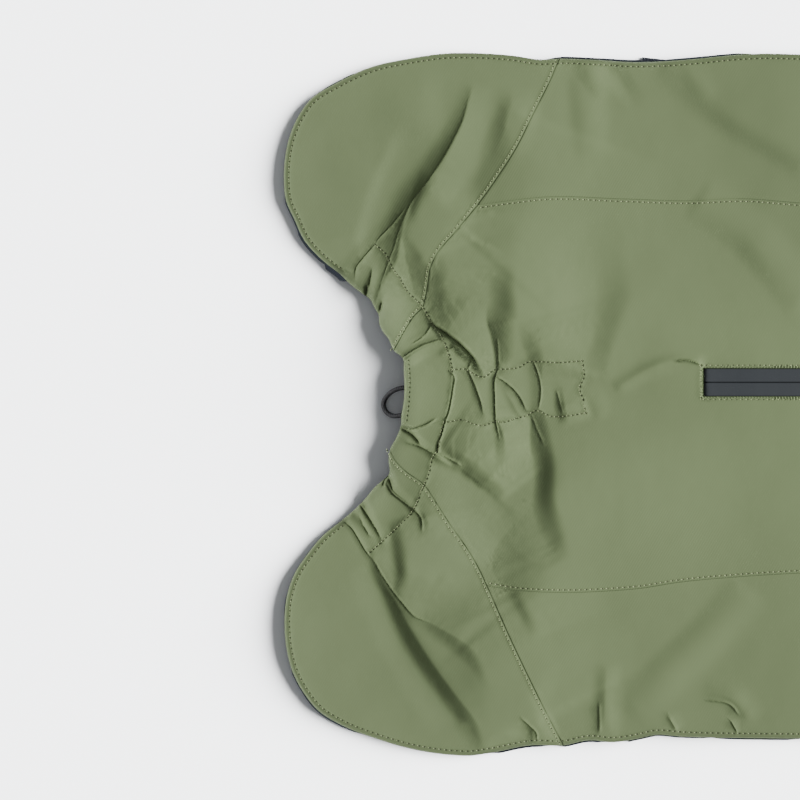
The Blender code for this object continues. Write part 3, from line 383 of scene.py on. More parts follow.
def measure(points, line, reach, open_ends=False):
    """For each point: its distance to a line, its side, how far along it is and how far past its end.

    The side is over 0 to the left of the line's way and under 0 to the right. How far along is from
    0 to 1. Beyond the reach the distance is endless.
    """
    distance = np.full(len(points), np.inf)
    past = np.zeros(len(points))
    side = np.zeros(len(points))
    share = np.zeros(len(points))
    tangent = np.gradient(line, axis=0)
    tangent /= np.linalg.norm(tangent, axis=1)[:, None]
    skip = 10
    step = np.linalg.norm(np.diff(line, axis=0), axis=1).max()
    posts = np.vstack((line[::skip], line[-1:]))
    low, high = line.min(axis=0) - reach, line.max(axis=0) + reach
    near = np.nonzero(((points > low) & (points < high)).all(axis=1))[0]
    for first in range(0, len(near), POINTS_AT_ONCE):
        some = near[first:first + POINTS_AT_ONCE]
        to_post = np.linalg.norm(points[some, None, :] - posts, axis=2).min(axis=1)
        some = some[to_post < reach + skip * step]
        if not len(some):
            continue
        away = points[some, None, :] - line
        square = (away**2).sum(axis=2)
        k = square.argmin(axis=1)
        length = np.sqrt(square[np.arange(len(some)), k])
        away, way = away[np.arange(len(some)), k], tangent[k]
        cross = away[:, 0] * way[:, 1] - away[:, 1] * way[:, 0]
        middle = (k > 0) & (k < len(line) - 1)
        ahead = np.abs((away * way).sum(axis=1))
        distance[some] = np.abs(cross) if open_ends else np.where(middle, np.abs(cross), length)
        past[some] = np.where(middle, 0, ahead)
        side[some] = cross / np.maximum(length, 1e-6)
        share[some] = k / (len(line) - 1)
    distance[distance > reach] = np.inf
    return distance, side, share, past


# The form: how the coat stands off the floor, how full it is, and how it is folded. The wadding
# rounds each panel, and the elastic at the neck and the spine draws the cloth into folds.
LINING_WALL, LAYER_GAP, SHELL_WALL = 1.5, 0.6, 2.0
EDGE_HEIGHT = LINING_WALL + LAYER_GAP + SHELL_WALL
RISES = (
    # place, x, y, height, reach towards the neck, reach towards the tail, reach across
    ("neck band", 228, 197, 13, 90, 110, 32),
    ("right shoulder at the neck", 206, 152, 7.2, 22, 18, 24),
    ("left shoulder at the neck", 198, 240, 5.6, 21, 50, 20),
    ("right lobe", 168, 86, 2.8, 34, 80, 30),
    ("right lobe's fold", 202, 95, 3.8, 54, 44, 40),
    ("left lobe", 165, 312, 3.2, 32, 80, 34),
    ("left lobe's fold", 207, 322, 7.2, 54, 42, 42),
)
BULGES = (
    # place, x, y, height, reach towards the neck, reach towards the tail, reach across
    ("behind the channel", 326, 196, 2, 30, 60, 30),
    ("left of the port", 385, 258, 5, 76, 120, 44),
    ("right of the port", 385, 120, 2.8, 80, 120, 50),
    ("right of the spine, behind it", 292, 146, 3.6, 26, 140, 36),
    ("spine channel", 262, 200, 1.5, 30, 30, 14),
    ("right casing", 200, 152, 1, 14, 12, 18),
    ("left casing", 200, 240, 0.5, 14, 12, 16),
    ("neck band", 227, 196, 0.8, 14, 7, 13),
    ("right side", 338, 48, 1.8, 60, 60, 30),
    ("left side's hem", 262, 352, 2, 26, 40, 22),
    ("left side's seam", 262, 303, 1.8, 30, 50, 20),
)
FOLDS = (
    # name, way, depths along it (a ridge's are under 0), reach towards the light, reach away from
    # it, sharpness: 0 is round and 1 sharp. Several values are spread evenly along the way.
    ("right lobe", ((235.5, 45), (234.5, 50), (231.8, 60), (227, 70), (221.3, 80), (214.3, 90),
     (206.2, 100), (202, 110), (200, 120), (198.4, 130), (192.4, 140), (188.2, 150)),
     (0.6, 2.2, 3.6, 4.4, 4.4, 4.2, 4.4, 4.8, 2.8, 0.9), (6, 8, 9, 10, 11, 11, 11.5, 14, 8, 4),
     (10, 12, 15, 20, 30, 44, 56, 48, 26, 12), 1),
    ("right lobe, hollow", ((206, 38), (207, 50), (208, 60), (209, 68)), (0.3, 0.9, 0.9, 0.3), 24, 16, 0),
    ("right lobe, shaded side", ((216, 90), (213.4, 99), (212.8, 107), (214.5, 116), (217.5, 124)),
     (1, 3.6, 4.2, 3.2, 1.2), (8, 8, 9, 14, 12), (26, 34, 42, 46, 46), 0),
    ("right lobe, crest", ((204, 68), (199, 80), (194, 90), (190, 100), (187, 110), (184.5, 120),
     (186, 128)), (-0.3, -0.8, -1, -1, -1, -1.2, -0.6), 8, (26, 24, 20, 16, 12), 0),
    ("right shoulder groove", ((255.5, 47), (255.5, 55), (253.5, 62), (250.5, 70), (247, 78)),
     (0.5, 2.2, 2.2, 1.2, 0.3), 8, 16, 0.3),
    ("right shoulder, by the seam", ((265, 62), (259, 78), (251.5, 90), (242, 101.5), (231.5, 113)),
     (1.2, 2.2, 2.2, 1.8, 0.8), 15, 80, 0),
    ("right shoulder wedge", ((200.5, 117), (202, 124), (203, 130), (204.8, 138), (206.5, 145)),
     (-1, -2.2, -3.4, -3.6, -1.4), 60, (7, 8, 9.5, 11, 9), 0.5),
    ("right casing, hollow", ((180, 128), (186, 134), (190.5, 141), (192.5, 148)), (1, 2.2, 2.6, 1.6), 14,
     50, 0),
    ("right shoulder, behind the seam", ((213.6, 131), (213.4, 141), (213.8, 149), (216.5, 157)),
     (-0.6, -1.8, -2.2, -0.6), 20, 10, 0),
    ("right neck diagonal", ((212, 157.5), (218.6, 162.6), (224, 166.8), (229.2, 171), (233.9, 175.4),
     (237.6, 180), (240.6, 185.5)), (0.1, 1.6, 3.8, 4.6, 4.6, 4.2, 2.2), (4, 4, 5.5, 6, 6, 5, 4), 50, 0.6),
    ("right neck arc", ((222.5, 176), (227.5, 174), (231, 177)), (1, 1.2, 1), 2.5, 3, 0.5),
    ("right of the spine", ((243.4, 136), (243.6, 142), (243.6, 150), (243.2, 157), (243.5, 162),
     (245, 167), (246.2, 173), (246.9, 178), (247.3, 182), (247.7, 184.5)),
     (-1.4, -3.4, -4.8, -5.6, -6, -6.4, -5.6, -5, -4, -2), (20, 26, 32, 38, 42, 46, 48, 46, 40, 30),
     (15, 14, 14.5, 15.5, 16, 15.5, 13, 11.5, 10, 7), (0, 0, 0, 0, 0.3, 0.8, 0.9, 0.9, 0.9, 0.9)),
    ("right of the spine, next", ((268, 163), (270.5, 172), (271.5, 180), (270.5, 187), (270, 194),
     (269, 204)), (0.8, 2.6, 2.6, 1.6, 1.6, 1.2), (10, 10, 9, 7, 6, 5), (60, 60, 50, 24, 16, 14),
     (0, 0, 0.2, 0.6, 0.7, 0.6)),
    ("behind the right bulge", ((293, 112), (295, 122), (296.5, 132), (298, 145), (297.5, 160),
     (295.5, 170), (292, 182)), (-0.3, -0.8, -1.4, -2.4, -2.6, -2.4, -1.2), 24,
     (17, 17, 17, 18, 14, 12, 12), 0.2),
    ("channel 1", ((234.5, 187), (236.6, 190), (238.5, 197), (241, 203), (241.8, 207)),
     (0.9, 1.3, 1.4, 1.3, 0.8), 3.5, 14, 0.9),
    ("channel 2", ((249, 184.5), (247.2, 190), (247, 197), (247.2, 203), (249, 211), (251.4, 217),
     (252.6, 223), (253.2, 229)), (1.2, 1.1, 1.1, 1.1, 1.5, 2.4, 2, 0.6), (3.5, 3.5, 3.5, 3.5, 4, 5, 6, 6),
     15, (0.9, 0.9, 0.9, 0.9, 0.9, 0.7, 0.3, 0)),
    ("channel 3", ((249.5, 189), (254.5, 193), (259.5, 197.5), (262.2, 203), (264, 206.5)),
     (0.6, 1.2, 1.5, 1.3, 0.8), 4, 12, 0.8),
    ("channel 4", ((253, 196.5), (260, 208.5)), (0.4, 0.6, 0.5), 2.5, 4, 0.5),
    ("channel 6", ((280.5, 193), (281.2, 197), (282, 203), (283, 208)), (0.3, 1.6, 2.8, 1.8), 5.5, 16, 0.3),
    ("channel end", ((293.5, 196), (296.5, 200), (299, 206)), (0.4, 0.7, 0.5), 4, 8, 0),
    ("left of the spine", ((264.8, 209), (264.8, 214), (264.6, 220), (265.2, 226), (265.8, 232), (266, 240),
     (265.4, 248), (265.8, 256), (268, 264), (272, 271.5), (275.6, 278)),
     (-3.2, -4.4, -5.8, -6.4, -6.2, -6, -5.6, -5, -4.4, -3.4, -1.2),
     (26, 36, 44, 56, 62, 62, 60, 54, 44, 30, 16), (8, 10.5, 11.5, 12, 12, 12, 13, 14, 14, 12, 10),
     (0.7, 0.5, 0.4, 0.1, 0, 0, 0, 0, 0, 0, 0)),
    ("left of the spine, outside", ((266, 250), (260.5, 259), (253.5, 266), (248, 273), (245.6, 280),
     (247.6, 288), (252, 297)), (-0.3, -1, -2.8, -4.4, -4.8, -3.8, -1.6), 50, (12, 16, 20, 24, 28, 30, 26),
     (0.3, 0.3, 0.4, 0.4, 0.4, 0.3, 0.2)),
    ("left of the spine, end", ((256.5, 291), (260, 297), (263.2, 303), (266.5, 309), (268.5, 314)),
     (0.5, 1.5, 2.2, 2, 0.8), 6, 40, 0.2),
    ("left neck diagonal", ((225, 222.3), (231, 226.2), (238.2, 231.6), (247, 238.8), (251.4, 244.4)),
     (1.6, 4.2, 5.2, 4.6, 1.4), (6, 10, 10.5, 9.5, 6), 34, 0.1),
    ("right gather 1", ((186.5, 137), (185, 141.5), (184, 148)), (1, 1.8, 1.6), 3.2, 3.2, 0.6),
    ("right gather 2", ((191, 150), (190.5, 154), (189.8, 157)), (0.8, 1.2, 1), 2.6, 3, 0.6),
    ("right gather 3", ((216, 163), (213.5, 165.5), (210, 168), (206.5, 170)), (0.4, 0.6, 0.4), 2.8, 4,
     0.6),
    ("band's right end", ((202, 180.8), (209.6, 175.3), (215.6, 172.6), (221, 171.4)), (2.8, 2.4, 1.4), 4.6,
     5, 0.5),
    ("left gather 1", ((200.5, 213), (206, 217), (210, 221.5)), (1.6, 1.8, 1), 2.8, 3, 0.6),
    ("left gather 2", ((204, 221), (212, 224.3), (219, 229), (227, 233.5)), (0.8, 1.2, 1.6, 0.8), 3, 4,
     0.6),
    ("left gather 3", ((194.4, 238), (196, 244), (203.5, 251), (206.5, 254.5)), (2, 2, 1.2), 2.8, 3.5, 0.6),
    ("left gather 4", ((181.5, 251), (185, 260), (191, 270)), (1.4, 1.4, 0.8), 2.8, 3.5, 0.6),
    ("left gather 5", ((177, 256), (183, 265), (185.5, 268)), (0.8, 1, 0.8), 3, 3, 0.6),
    ("left shoulder 1", ((209, 254.5), (213, 258), (214.5, 265)), (1, 2.4, 1), 6, 24, 0.3),
    ("left shoulder 2", ((200.5, 263), (202, 270), (203, 278), (203, 287), (201.5, 295)),
     (1.6, 3.4, 4.4, 4, 1.2), (6.5, 7.5, 7.5, 6, 5), 50, 0.2),
    ("left lobe, upper", ((187, 279), (193, 290), (200.5, 300.5), (208, 308.2), (214, 310.8), (223.6, 316),
     (234.4, 323), (241.2, 329.6), (245.4, 335.4), (248.5, 341)),
     (0.3, 0.4, 0.6, 1.1, 1.5, 2.6, 3.4, 2.6, 1.4, 0.5), (3, 3.5, 4.5, 5, 5.5, 6.5, 7.5, 8, 8, 7),
     (12, 14, 18, 26, 30, 40, 50, 50, 44, 30), (0.8, 0.8, 0.8, 0.8, 0.7, 0.6, 0.4, 0.2, 0, 0)),
    ("left lobe", ((187, 279), (189.8, 287), (197.4, 300), (205.8, 315), (215.2, 330), (226, 345),
     (237.4, 360), (243.8, 370)), (1, 2.4, 4.2, 5.2, 4.8, 4.2, 3.6, 2.4), (4, 4.5, 7, 8.5, 8, 8, 8, 8),
     (14, 24, 40, 56, 60, 60, 56, 40), (0.5, 0.5, 0.5, 0.5, 0.5, 0.5, 0.4, 0.3)),
    ("left lobe, crest", ((185, 285), (192, 300), (198, 315), (206, 330), (215.6, 345), (225.2, 360)),
     (-0.5, -0.8, -0.8, -0.8, -0.8, -0.7), 13, 9, 0),
    ("left lobe, behind it", ((238, 322), (249, 336), (259, 349), (265, 360)), (1.2, 2.8, 3.2, 1.6), 26, 70,
     0),
    ("left hem 1", ((256.5, 352), (259.8, 357), (264, 361.5), (267.4, 365), (268.8, 371)),
     (0.6, 1.8, 2.8, 2.8, 2.2), 4.5, 12, 0.4),
    ("right side diagonal", ((336, 33), (350, 44), (366, 56), (384, 67), (404, 79)), (1, 2.6, 3.2, 2.8, 2),
     13, 50, 0),
    ("right hem 1", ((292.5, 32.5), (296, 39), (300, 46)), (1.6, 1.4, 0.5), 5, 8, 0),
    ("right hem 2", ((305, 34), (316, 49)), (-0.8, -1.2, -0.5), 5, 5, 0),
    ("right hem 3", ((345, 35), (352.5, 46)), (1.2, 1.2, 0.6), 5, 6, 0),
    ("right side upright", ((291.5, 40), (295, 75)), (0.8, 1.2, 0.5), 9, 12, 0),
    ("right of the port", ((350, 102.5), (375, 120), (400, 150)), (0.8, 1.8, 0.8), 12, 16, 0),
    ("port corner", ((310, 192.5), (325, 184), (340, 180), (348, 180.5)), (0.8, 1.6, 1), 5, 5, 0.3),
    ("left hem 2", ((303, 335), (302.4, 352), (302, 369)), (0.8, 1.8, 1.8), 6, 8, 0.3),
    ("left hem 3", ((357, 346.5), (366.5, 349.5), (373.5, 357)), (0.8, 1.6, 1.2), 5, 8, 0.3),
    ("left side diagonal", ((371, 296.5), (352, 319), (334.5, 335), (317, 354)), (0.8, 1.8, 0.8), 12, 14,
     0),
    ("tail, right", ((430, 60), (462, 82), (498, 96)), (0.8, 1.8, 0.8), 12, 14, 0),
    ("tail, right of the middle", ((455, 130), (488, 152), (528, 158)), (0.8, 1.8, 0.8), 11, 14, 0),
    ("tail, left of the middle", ((438, 236), (470, 252), (515, 246)), (0.8, 1.8, 0.8), 12, 14, 0),
    ("tail, left", ((425, 318), (455, 334), (490, 326)), (0.8, 1.8, 0.8), 11, 14, 0),
)
CREASES = (
    # name, way, depth, half its width
    ("right lobe", ((234, 50), (231.2, 60), (226.4, 70), (220.8, 80), (214, 90), (206.2, 100), (201.8, 109),
     (199.2, 116), (196.8, 124), (194.1, 131.4), (191, 140.4), (188.8, 148.4), (187.9, 152.9)), 0.5, 0.6),
    ("right lobe branch", ((202, 105), (195, 113.5), (189, 120), (187.6, 122.2)), 0.7, 0.7),
    ("right casing end", ((187.6, 122.2), (181.6, 129.2), (178, 134), (177.6, 139.2)), 0.8, 0.7),
    ("right gather, black", ((183.4, 143), (182.9, 148.4)), 1.8, 1.2),
    ("right gather, thin", ((186, 135), (184.3, 144)), 0.8, 0.7),
    ("right gather, short", ((191, 151), (189.6, 156.4)), 1.2, 0.8),
    ("right gather, slanting", ((215.5, 162.7), (212.9, 167.1), (205.7, 172.5)), 0.9, 0.7),
    ("band's right end", ((200.8, 179.2), (208.4, 174.3), (214.6, 171.6), (222.7, 169.4)), 0.9, 0.7),
    ("right neck diagonal", ((215.6, 162.1), (221.5, 166), (227.9, 170.6), (233.6, 175.8), (237, 180.4),
     (239, 184.2)), 2.6, 1.7),
    ("right neck diagonal, branch", ((236, 178.8), (233.8, 185)), 0.9, 0.9),
    ("right neck arc", ((223.6, 175.2), (227.2, 173.8), (231.6, 175.2)), 0.7, 0.7),
    ("right of the spine", ((248.4, 170), (248.8, 177), (248.9, 184.1)), 0.8, 1),
    ("channel 2", ((248.8, 184.5), (247.2, 188.6), (247, 199.3), (247.6, 210.9), (249.5, 219.8)), 1.3,
     0.65),
    ("channel 1", ((233.8, 185), (236, 190.4), (238.8, 197.5), (241.4, 206.9)), 1, 0.8),
    ("channel 3", ((248.6, 188.6), (254.8, 193), (259.3, 198.4), (262.9, 205.5)), 1, 0.8),
    ("channel 5", ((266.6, 181.4), (269, 188.6), (270, 195.7), (269, 204.6)), 1, 0.8),
    ("channel 6", ((278, 195.7), (279.8, 202.9), (281.2, 207.3)), 0.6, 1),
    ("band's inner join", ((224.4, 185.5), (226.8, 188), (226.4, 194), (225.5, 200), (224.2, 206),
     (222.4, 211), (220.7, 217), (218.6, 224), (218.9, 227)), 1.5, 0.75),
    ("band's inner join, black", ((219, 222), (218.6, 226.4)), 1.8, 1.2),
    ("band's left end", ((200.8, 212.7), (205.7, 214.5), (211, 213.1), (218.2, 209.1)), 1.6, 0.9),
    ("left gather 1", ((201.2, 214.5), (205.7, 217.1), (210.2, 222)), 2, 1.1),
    ("left gather 2", ((203.5, 221.2), (210.2, 223.4), (216.4, 226.5), (221.8, 229.3)), 0.9, 0.8),
    ("left of the spine", ((265.5, 208.2), (268.2, 215.4), (271.8, 222.5)), 0.8, 1),
    ("left neck diagonal", ((218.3, 226.5), (222, 228), (226.5, 230.4), (231, 233.2)), 0.9, 1.2),
    ("left gather 3", ((193.2, 241.6), (196, 246.4), (200, 249.6), (204, 252.8), (206.8, 254.8)), 0.9, 0.8),
    ("left gather 3, short", ((194.4, 239.2), (195.6, 242.4), (196.4, 245.6)), 1, 0.6),
    ("left gather 3, black", ((194.8, 237.2), (192.4, 240), (191.2, 243.6)), 1.4, 0.9),
    ("left gather 4", ((180, 252), (182.4, 256), (187.2, 263.2), (190.8, 269.6)), 1.2, 0.8),
    ("left gather 5", ((179.2, 257.2), (181.6, 262.4), (184.8, 268)), 0.7, 0.8),
    ("left casing end", ((171.6, 260.4), (176, 264.4), (178.8, 268.8), (183.2, 276), (186.4, 279.6)), 1,
     0.7),
    ("left lobe, upper", ((186.4, 279.6), (192.6, 290), (200.4, 300.6), (207.6, 308.2), (214, 310.8)), 0.8,
     0.8),
    ("left shoulder 1", ((206.8, 254.4), (210, 258.4), (211.2, 266)), 1, 1),
    ("left hem 1", ((260.5, 359), (265.2, 363.4), (268.2, 366.6), (268.6, 371)), 0.9, 0.9),
    ("left hem 2", ((299.4, 351.7), (299.8, 366.5)), 0.7, 1.4),
    ("left hem 3", ((353, 350), (365.3, 352.6), (369.7, 357.8)), 0.9, 1.3),
    ("left hem 4", ((365.3, 360.4), (368.8, 366.5)), 1, 1),
    ("left hem 5", ((334, 357.8), (338.5, 365.6)), 1, 2.3),
    ("right lobe's corner", ((165.6, 131.6), (170.4, 133.6), (176, 136.4)), 0.5, 1.5),
    ("port corner", ((338, 180.6), (345, 180.6), (350.8, 182.6)), 1.6, 1.2),
)
BELT_CORNERS = np.array(((321.5, 28.2), (341.0, 30.4), (334.5, 367.0), (314.5, 371.4)))
belt_ends = (BELT_CORNERS[[0, 3]] + BELT_CORNERS[[1, 2]]) / 2
BELT_WALL, BELT_CLEARANCE = 1.8, 0.3
BELT_RAMP_START, BELT_RAMP_END = 20.0, 34.0
SHELL_RAMP_END = 80.0
CROWN, NECK_CROWN_REACH = 2.4, 34.0
CROWN_REACH = ((150.0, 230.0), (30.0, 16.0))
RISE_START = 0.6
FOLD_STEP, FOLD_END = 0.9, 5.0
CREASE_STEP = 0.4
CREASE_FADE = ((0, 0.15, 0.8, 1), (0.35, 1, 1, 0.1))


def mounds(points, rows):
    """The sum of soft round mounds."""
    total = np.zeros(len(points))
    for _, x, y, height, to_neck, to_tail, across in rows:
        reach = np.where(points[:, 0] < x, to_neck, to_tail)
        total += height * np.exp(-((points[:, 0] - x) / reach)**2 - ((points[:, 1] - y) / across)**2)
    return total


def off_belt(points):
    """How far each point is, on the sheet, from the belt's middle line."""
    along = (belt_ends[1] - belt_ends[0]) / np.linalg.norm(belt_ends[1] - belt_ends[0])
    away = points - belt_ends[0]
    return np.abs(away[:, 0] * along[1] - away[:, 1] * along[0])


def raised(points):
    """How far the coat stands off the floor at its neck and lobes."""
    return np.maximum(mounds(points, RISES) - RISE_START, 0)


def belt_lift(points):
    """How far the belt lifts the lining."""
    ramp = np.clip((BELT_RAMP_END - off_belt(points)) / (BELT_RAMP_END - BELT_RAMP_START), 0, 1)
    return (BELT_WALL + BELT_CLEARANCE) * ramp


def over_belt(points):
    """How far the belt lifts the shell, where the wadding smooths its step."""
    share = np.clip((off_belt(points) - BELT_RAMP_START) / (SHELL_RAMP_END - BELT_RAMP_START), 0, 1)
    return (BELT_WALL + BELT_CLEARANCE) * (1 - share**2 * (3 - 2 * share))


def along(share, values):
    """The value at each share of a way, from one value or a few spread evenly along it."""
    values = np.atleast_1d(values)
    return np.interp(share, np.linspace(0, 1, len(values)), values)


def fold_depth(points, way, depths, to_light, from_light, sharpness):
    """How deep one fold is at each point: its way is its bottom, or the crest of a ridge.

    The light comes from the neck's side, so a fold falls on that side and a ridge on the other. A
    sharp fold is steepest at its way, and a round one halfway up.
    """
    line = smooth(way, FOLD_STEP)
    light_side = 1 if line[0, 1] > line[-1, 1] else -1
    reach = max(np.max(to_light), np.max(from_light)) + FOLD_END
    distance, side, share, past = measure(points, line, reach, open_ends=True)
    depth = along(share, depths)
    lit = side * light_side > 0
    part = np.clip(distance / np.where(lit, along(share, to_light), along(share, from_light)), 0, 1)
    falls = lit == (depth > 0)
    sharp = (1 - part)**np.where(falls, 2.0, 1.3)
    sharpness = along(share, sharpness)
    fade = np.clip(1 - past / FOLD_END, 0, 1)
    return depth * ((1 - sharpness) * (1 - part**2)**2 + sharpness * sharp) * fade**2 * (3 - 2 * fade)


def crease_depth(points, way, depth, half_width):
    """How deep one sharp crease is: it fades at both ends."""
    distance, _, share, _ = measure(points, smooth(way, CREASE_STEP), half_width)
    fade = np.interp(share, *CREASE_FADE)
    part = np.clip(distance / half_width, 0, 1)
    return depth * fade * (1 - part)**1.5


def rolled(distance, rows):
    """A height across a seam or hem, from a short table of distances and heights."""
    away, height = zip(*rows)
    return np.interp(distance, away, height)


# How the cloth rolls across its hem, its neck edge, a seam, a line of stitches or the port's edge:
# distances from it and heights
HEM_ROLL = ((0, -0.6), (0.3, -0.2), (0.8, -0.02), (1.3, 0.05), (1.8, -0.1), (2.4, -0.36), (3, -0.08),
            (3.8, 0))
NECK_ROLL = ((0, -0.6), (0.5, -0.15), (1.2, 0.05), (2, 0))
SEAM_ROLL = ((0, 0), (0.25, 0.28), (0.6, 0.42), (1, 0.24), (1.5, -0.25), (2.1, -0.05), (2.8, 0.02),
             (4.5, 0))
SEAM_UNDER = ((0, 0), (0.25, -0.08), (1, -0.03), (3, 0))
FLAT_SEAM_ROLL = ((0, -0.25), (0.3, 0.02), (0.8, 0.16), (1.4, -0.16), (2, 0.08), (3.5, 0))
FLAT_SEAM_UNDER = ((0, -0.25), (0.4, -0.1), (1.5, 0))
STITCHED_DOWN = ((0, -0.3), (0.5, -0.22), (1.2, -0.08), (2.2, 0), (3.6, 0))
PORT_ROLL = ((0, -0.4), (0.25, 0.2), (0.6, 0.5), (1, 0.2), (1.5, -0.45), (2.1, -0.05), (3, 0))
PORT_START, PORT_END, PORT_TOP, PORT_BOTTOM = 351.5, 434.0, 184.2, 198.2
# How far the stitches lie from the hem, a seam or the port
HEM_STITCH, SEAM_STITCH, FLAT_SEAM_STITCH = 2.4, 1.5, 1.4
PORT_STITCH = 1.5
CHANNEL_LINES = (
    # the stitching round the spine channel: its right side, its end and its left side
    ((225.8, 185), (233.4, 185), (236, 186.8), (241.4, 188.6), (246.8, 185), (253, 184.6),
     (259.3, 183.6), (262.9, 181.4), (270.9, 181), (277.1, 181.4), (290.5, 180.5)),
    ((290.5, 180.5), (291.4, 188.6), (289.2, 193.9), (291, 200.2), (292.3, 206.4)),
    ((292.3, 206.4), (284.3, 207.8), (275.4, 208.2), (266.4, 205.5), (263.8, 207.3), (257.5, 209.1),
     (252.1, 210.9), (246.8, 210.9), (241.4, 212.7), (236, 211.8), (231.6, 210), (223.6, 210.9)),
)
channel_lines = [smooth(rows, LINE_STEP) for rows in CHANNEL_LINES]
CASING_FULLNESS, CASING_REACH = 0.7, 40.0
CROWN_END, BULGE_EDGE = 60.0, 3.0
# How softly the folds end on the layers beneath, and how far a crease may press into them
SOFTENING, DEEPEST = 0.1, 0.8
# The cloth puckers at each stitch of the fine pitch, here more and there less
FINE_PITCH = 2.2
PUCKER_EVEN, PUCKER_UNEVEN, PUCKER_SIDE, PUCKER_SEED = 0.9, 1.5, 1.5, 7.0
UNEVENNESS = (
    # height, width of its lumps, seed
    (0.22, 19.0, 3.0),
    (0.05, 5.0, 11.0),
)
casing_outline = np.vstack((stretch(neck_edge, CASING_END_RIGHT[0], CASING_END_LEFT[-1])[::-1],
                            casing_ends[0], casing_line, casing_ends[1]))


def uneven(points, size, seed):
    """Soft noise from -1 to 1, the same each run, its lumps about as wide as size."""
    return np.array([noise.noise(Vector((x / size, y / size, seed))) for x, y in points])


def off_port(points):
    """How far each point is from the port's opening."""
    past_x = np.maximum(np.maximum(PORT_START - points[:, 0], points[:, 0] - PORT_END), 0)
    past_y = np.maximum(np.maximum(PORT_TOP - points[:, 1], points[:, 1] - PORT_BOTTOM), 0)
    return np.hypot(past_x, past_y)


def cloth_top(points):
    """The shell's outer side: its crowned form and bulges, less its folds, creases and seams."""
    lowest = over_belt(points) + EDGE_HEIGHT
    form = np.hypot(raised(points), over_belt(points)) + EDGE_HEIGHT
    to_hem = np.minimum(measure(points, outer_edge, CROWN_END)[0], CROWN_END)
    to_neck = np.minimum(measure(points, neck_edge, CROWN_END)[0], CROWN_END)
    crown_reach = np.interp(points[:, 0], *CROWN_REACH)
    form += CROWN * (1 - np.exp(-to_hem / crown_reach)) * (1 - np.exp(-to_neck / NECK_CROWN_REACH))
    form += mounds(points, BULGES) * (1 - np.exp(-np.minimum(to_hem, to_neck) / BULGE_EDGE))

    to_line = np.full(len(points), CASING_REACH)
    for line in (casing_line, *casing_ends):
        to_line = np.minimum(to_line, measure(points, line, CASING_REACH)[0])
    across_casing = to_neck / np.maximum(to_neck + to_line, 0.01)
    tube = np.clip(4 * across_casing * (1 - across_casing), 0, 1)
    form += CASING_FULLNESS * tube * inside(points, casing_outline)

    for _, way, depths, to_light, from_light, sharpness in FOLDS:
        form -= fold_depth(points, way, depths, to_light, from_light, sharpness)
    over = form - lowest
    form = lowest + (over + np.sqrt(over**2 + SOFTENING)) / 2
    for _, way, depth, half_width in CREASES:
        form -= crease_depth(points, way, depth, half_width)

    for line, roll in ((outer_edge, HEM_ROLL), (neck_edge, NECK_ROLL)):
        form += rolled(measure(points, line, roll[-1][0])[0], roll)
    for line, upper_side, upper, under in (
            (shoulder_right, -1, SEAM_ROLL, SEAM_UNDER), (shoulder_left, 1, SEAM_ROLL, SEAM_UNDER),
            (length_right, -1, FLAT_SEAM_ROLL, FLAT_SEAM_UNDER),
            (length_left, 1, FLAT_SEAM_ROLL, FLAT_SEAM_UNDER)):
        away, side, _, _ = measure(points, line, upper[-1][0])
        form += np.where(side * upper_side > 0, rolled(away, upper), rolled(away, under))
    for line in (casing_line, *channel_lines):
        away, side, share, _ = measure(points, line, STITCHED_DOWN[-1][0])
        turns = share * (len(line) * LINE_STEP) / FINE_PITCH
        pucker = np.array([noise.noise(Vector((t, math.copysign(PUCKER_SIDE, edge), PUCKER_SEED)))
                           for t, edge in zip(turns, side)])
        form += rolled(away, STITCHED_DOWN) * (PUCKER_EVEN + PUCKER_UNEVEN * pucker)
    form += rolled(off_port(points), PORT_ROLL)
    form += sum(height * uneven(points, size, seed) for height, size, seed in UNEVENNESS)
    return np.maximum(form, lowest - DEEPEST)


# Shell panels: six pieces of sage green twill over thin wadding. They are cut to the seams and
# sewn together there, and their hem and neck edges are turned under and stitched down. The mesh
# is fine at the neck, the seams and the creases and coarser at the tail.
MESH_CENTRE = np.array((232.0, 196.0))
MESH_RINGS = (
    # inner radius, outer radius, spacing
    (0, 46, 0.95),
    (46, 78, 1.4),
    (78, 165, 2.1),
    (165, 500, 3.4),
)
LATTICE_X, LATTICE_Y, LATTICE_ROW = (138, 558), (22, 382), 0.866
coarseness = 1.0
SEAM_ROWS = (0.25, 0.6, 1.0, 1.5, 1.9, 2.4, 3.0, 3.8)
SHELL_THICKNESS = 1.6
SHARP_ANGLE = 60.0
SEAM_GAP = 0.04
EDGE_SPACING, COARSE_FROM, COARSE_TIMES = 1.3, 110, 1.5
RING_CLEARANCE, RING_REACH, POINT_GAP = 0.85, 9.0, 0.33
LATTICE_CLEARANCE, EDGE_CLEARANCE, MERGE_GAP = 0.6, 0.3, 1e-4
SHARP_FOLD = 0.3
FOLD_SPACING, CREASE_SPACING = 1.2, 0.9
BESIDE_FOLD = (-3.6, -2.4, -1.4, -0.7, 0.0, 0.7, 1.4, 2.4, 3.6)
BESIDE_CREASE = (-1.0, -0.55, -0.25, 0.0, 0.25, 0.55, 1.0)
BESIDE_STITCHES = (-2.2, -1.3, -0.6, 0.0, 0.6, 1.3, 2.2)
BESIDE_PORT = (0.25, 0.6, 1.0, 1.5, 2.1, 3.0)
PORT_STEP = 1.5


def spread(points, gap):
    """Points with no two in the same small cell."""
    _, first = np.unique(np.round(points / gap).astype(int), axis=0, return_index=True)
    return points[np.sort(first)]


def clear_of(points, others, gap):
    """The points that lie at least a gap away from all the others."""
    tree = kdtree.KDTree(len(others))
    for i, (x, y) in enumerate(others):
        tree.insert((x, y, 0.0), i)
    tree.balance()
    return points[[tree.find((x, y, 0.0))[2] > gap for x, y in points]]


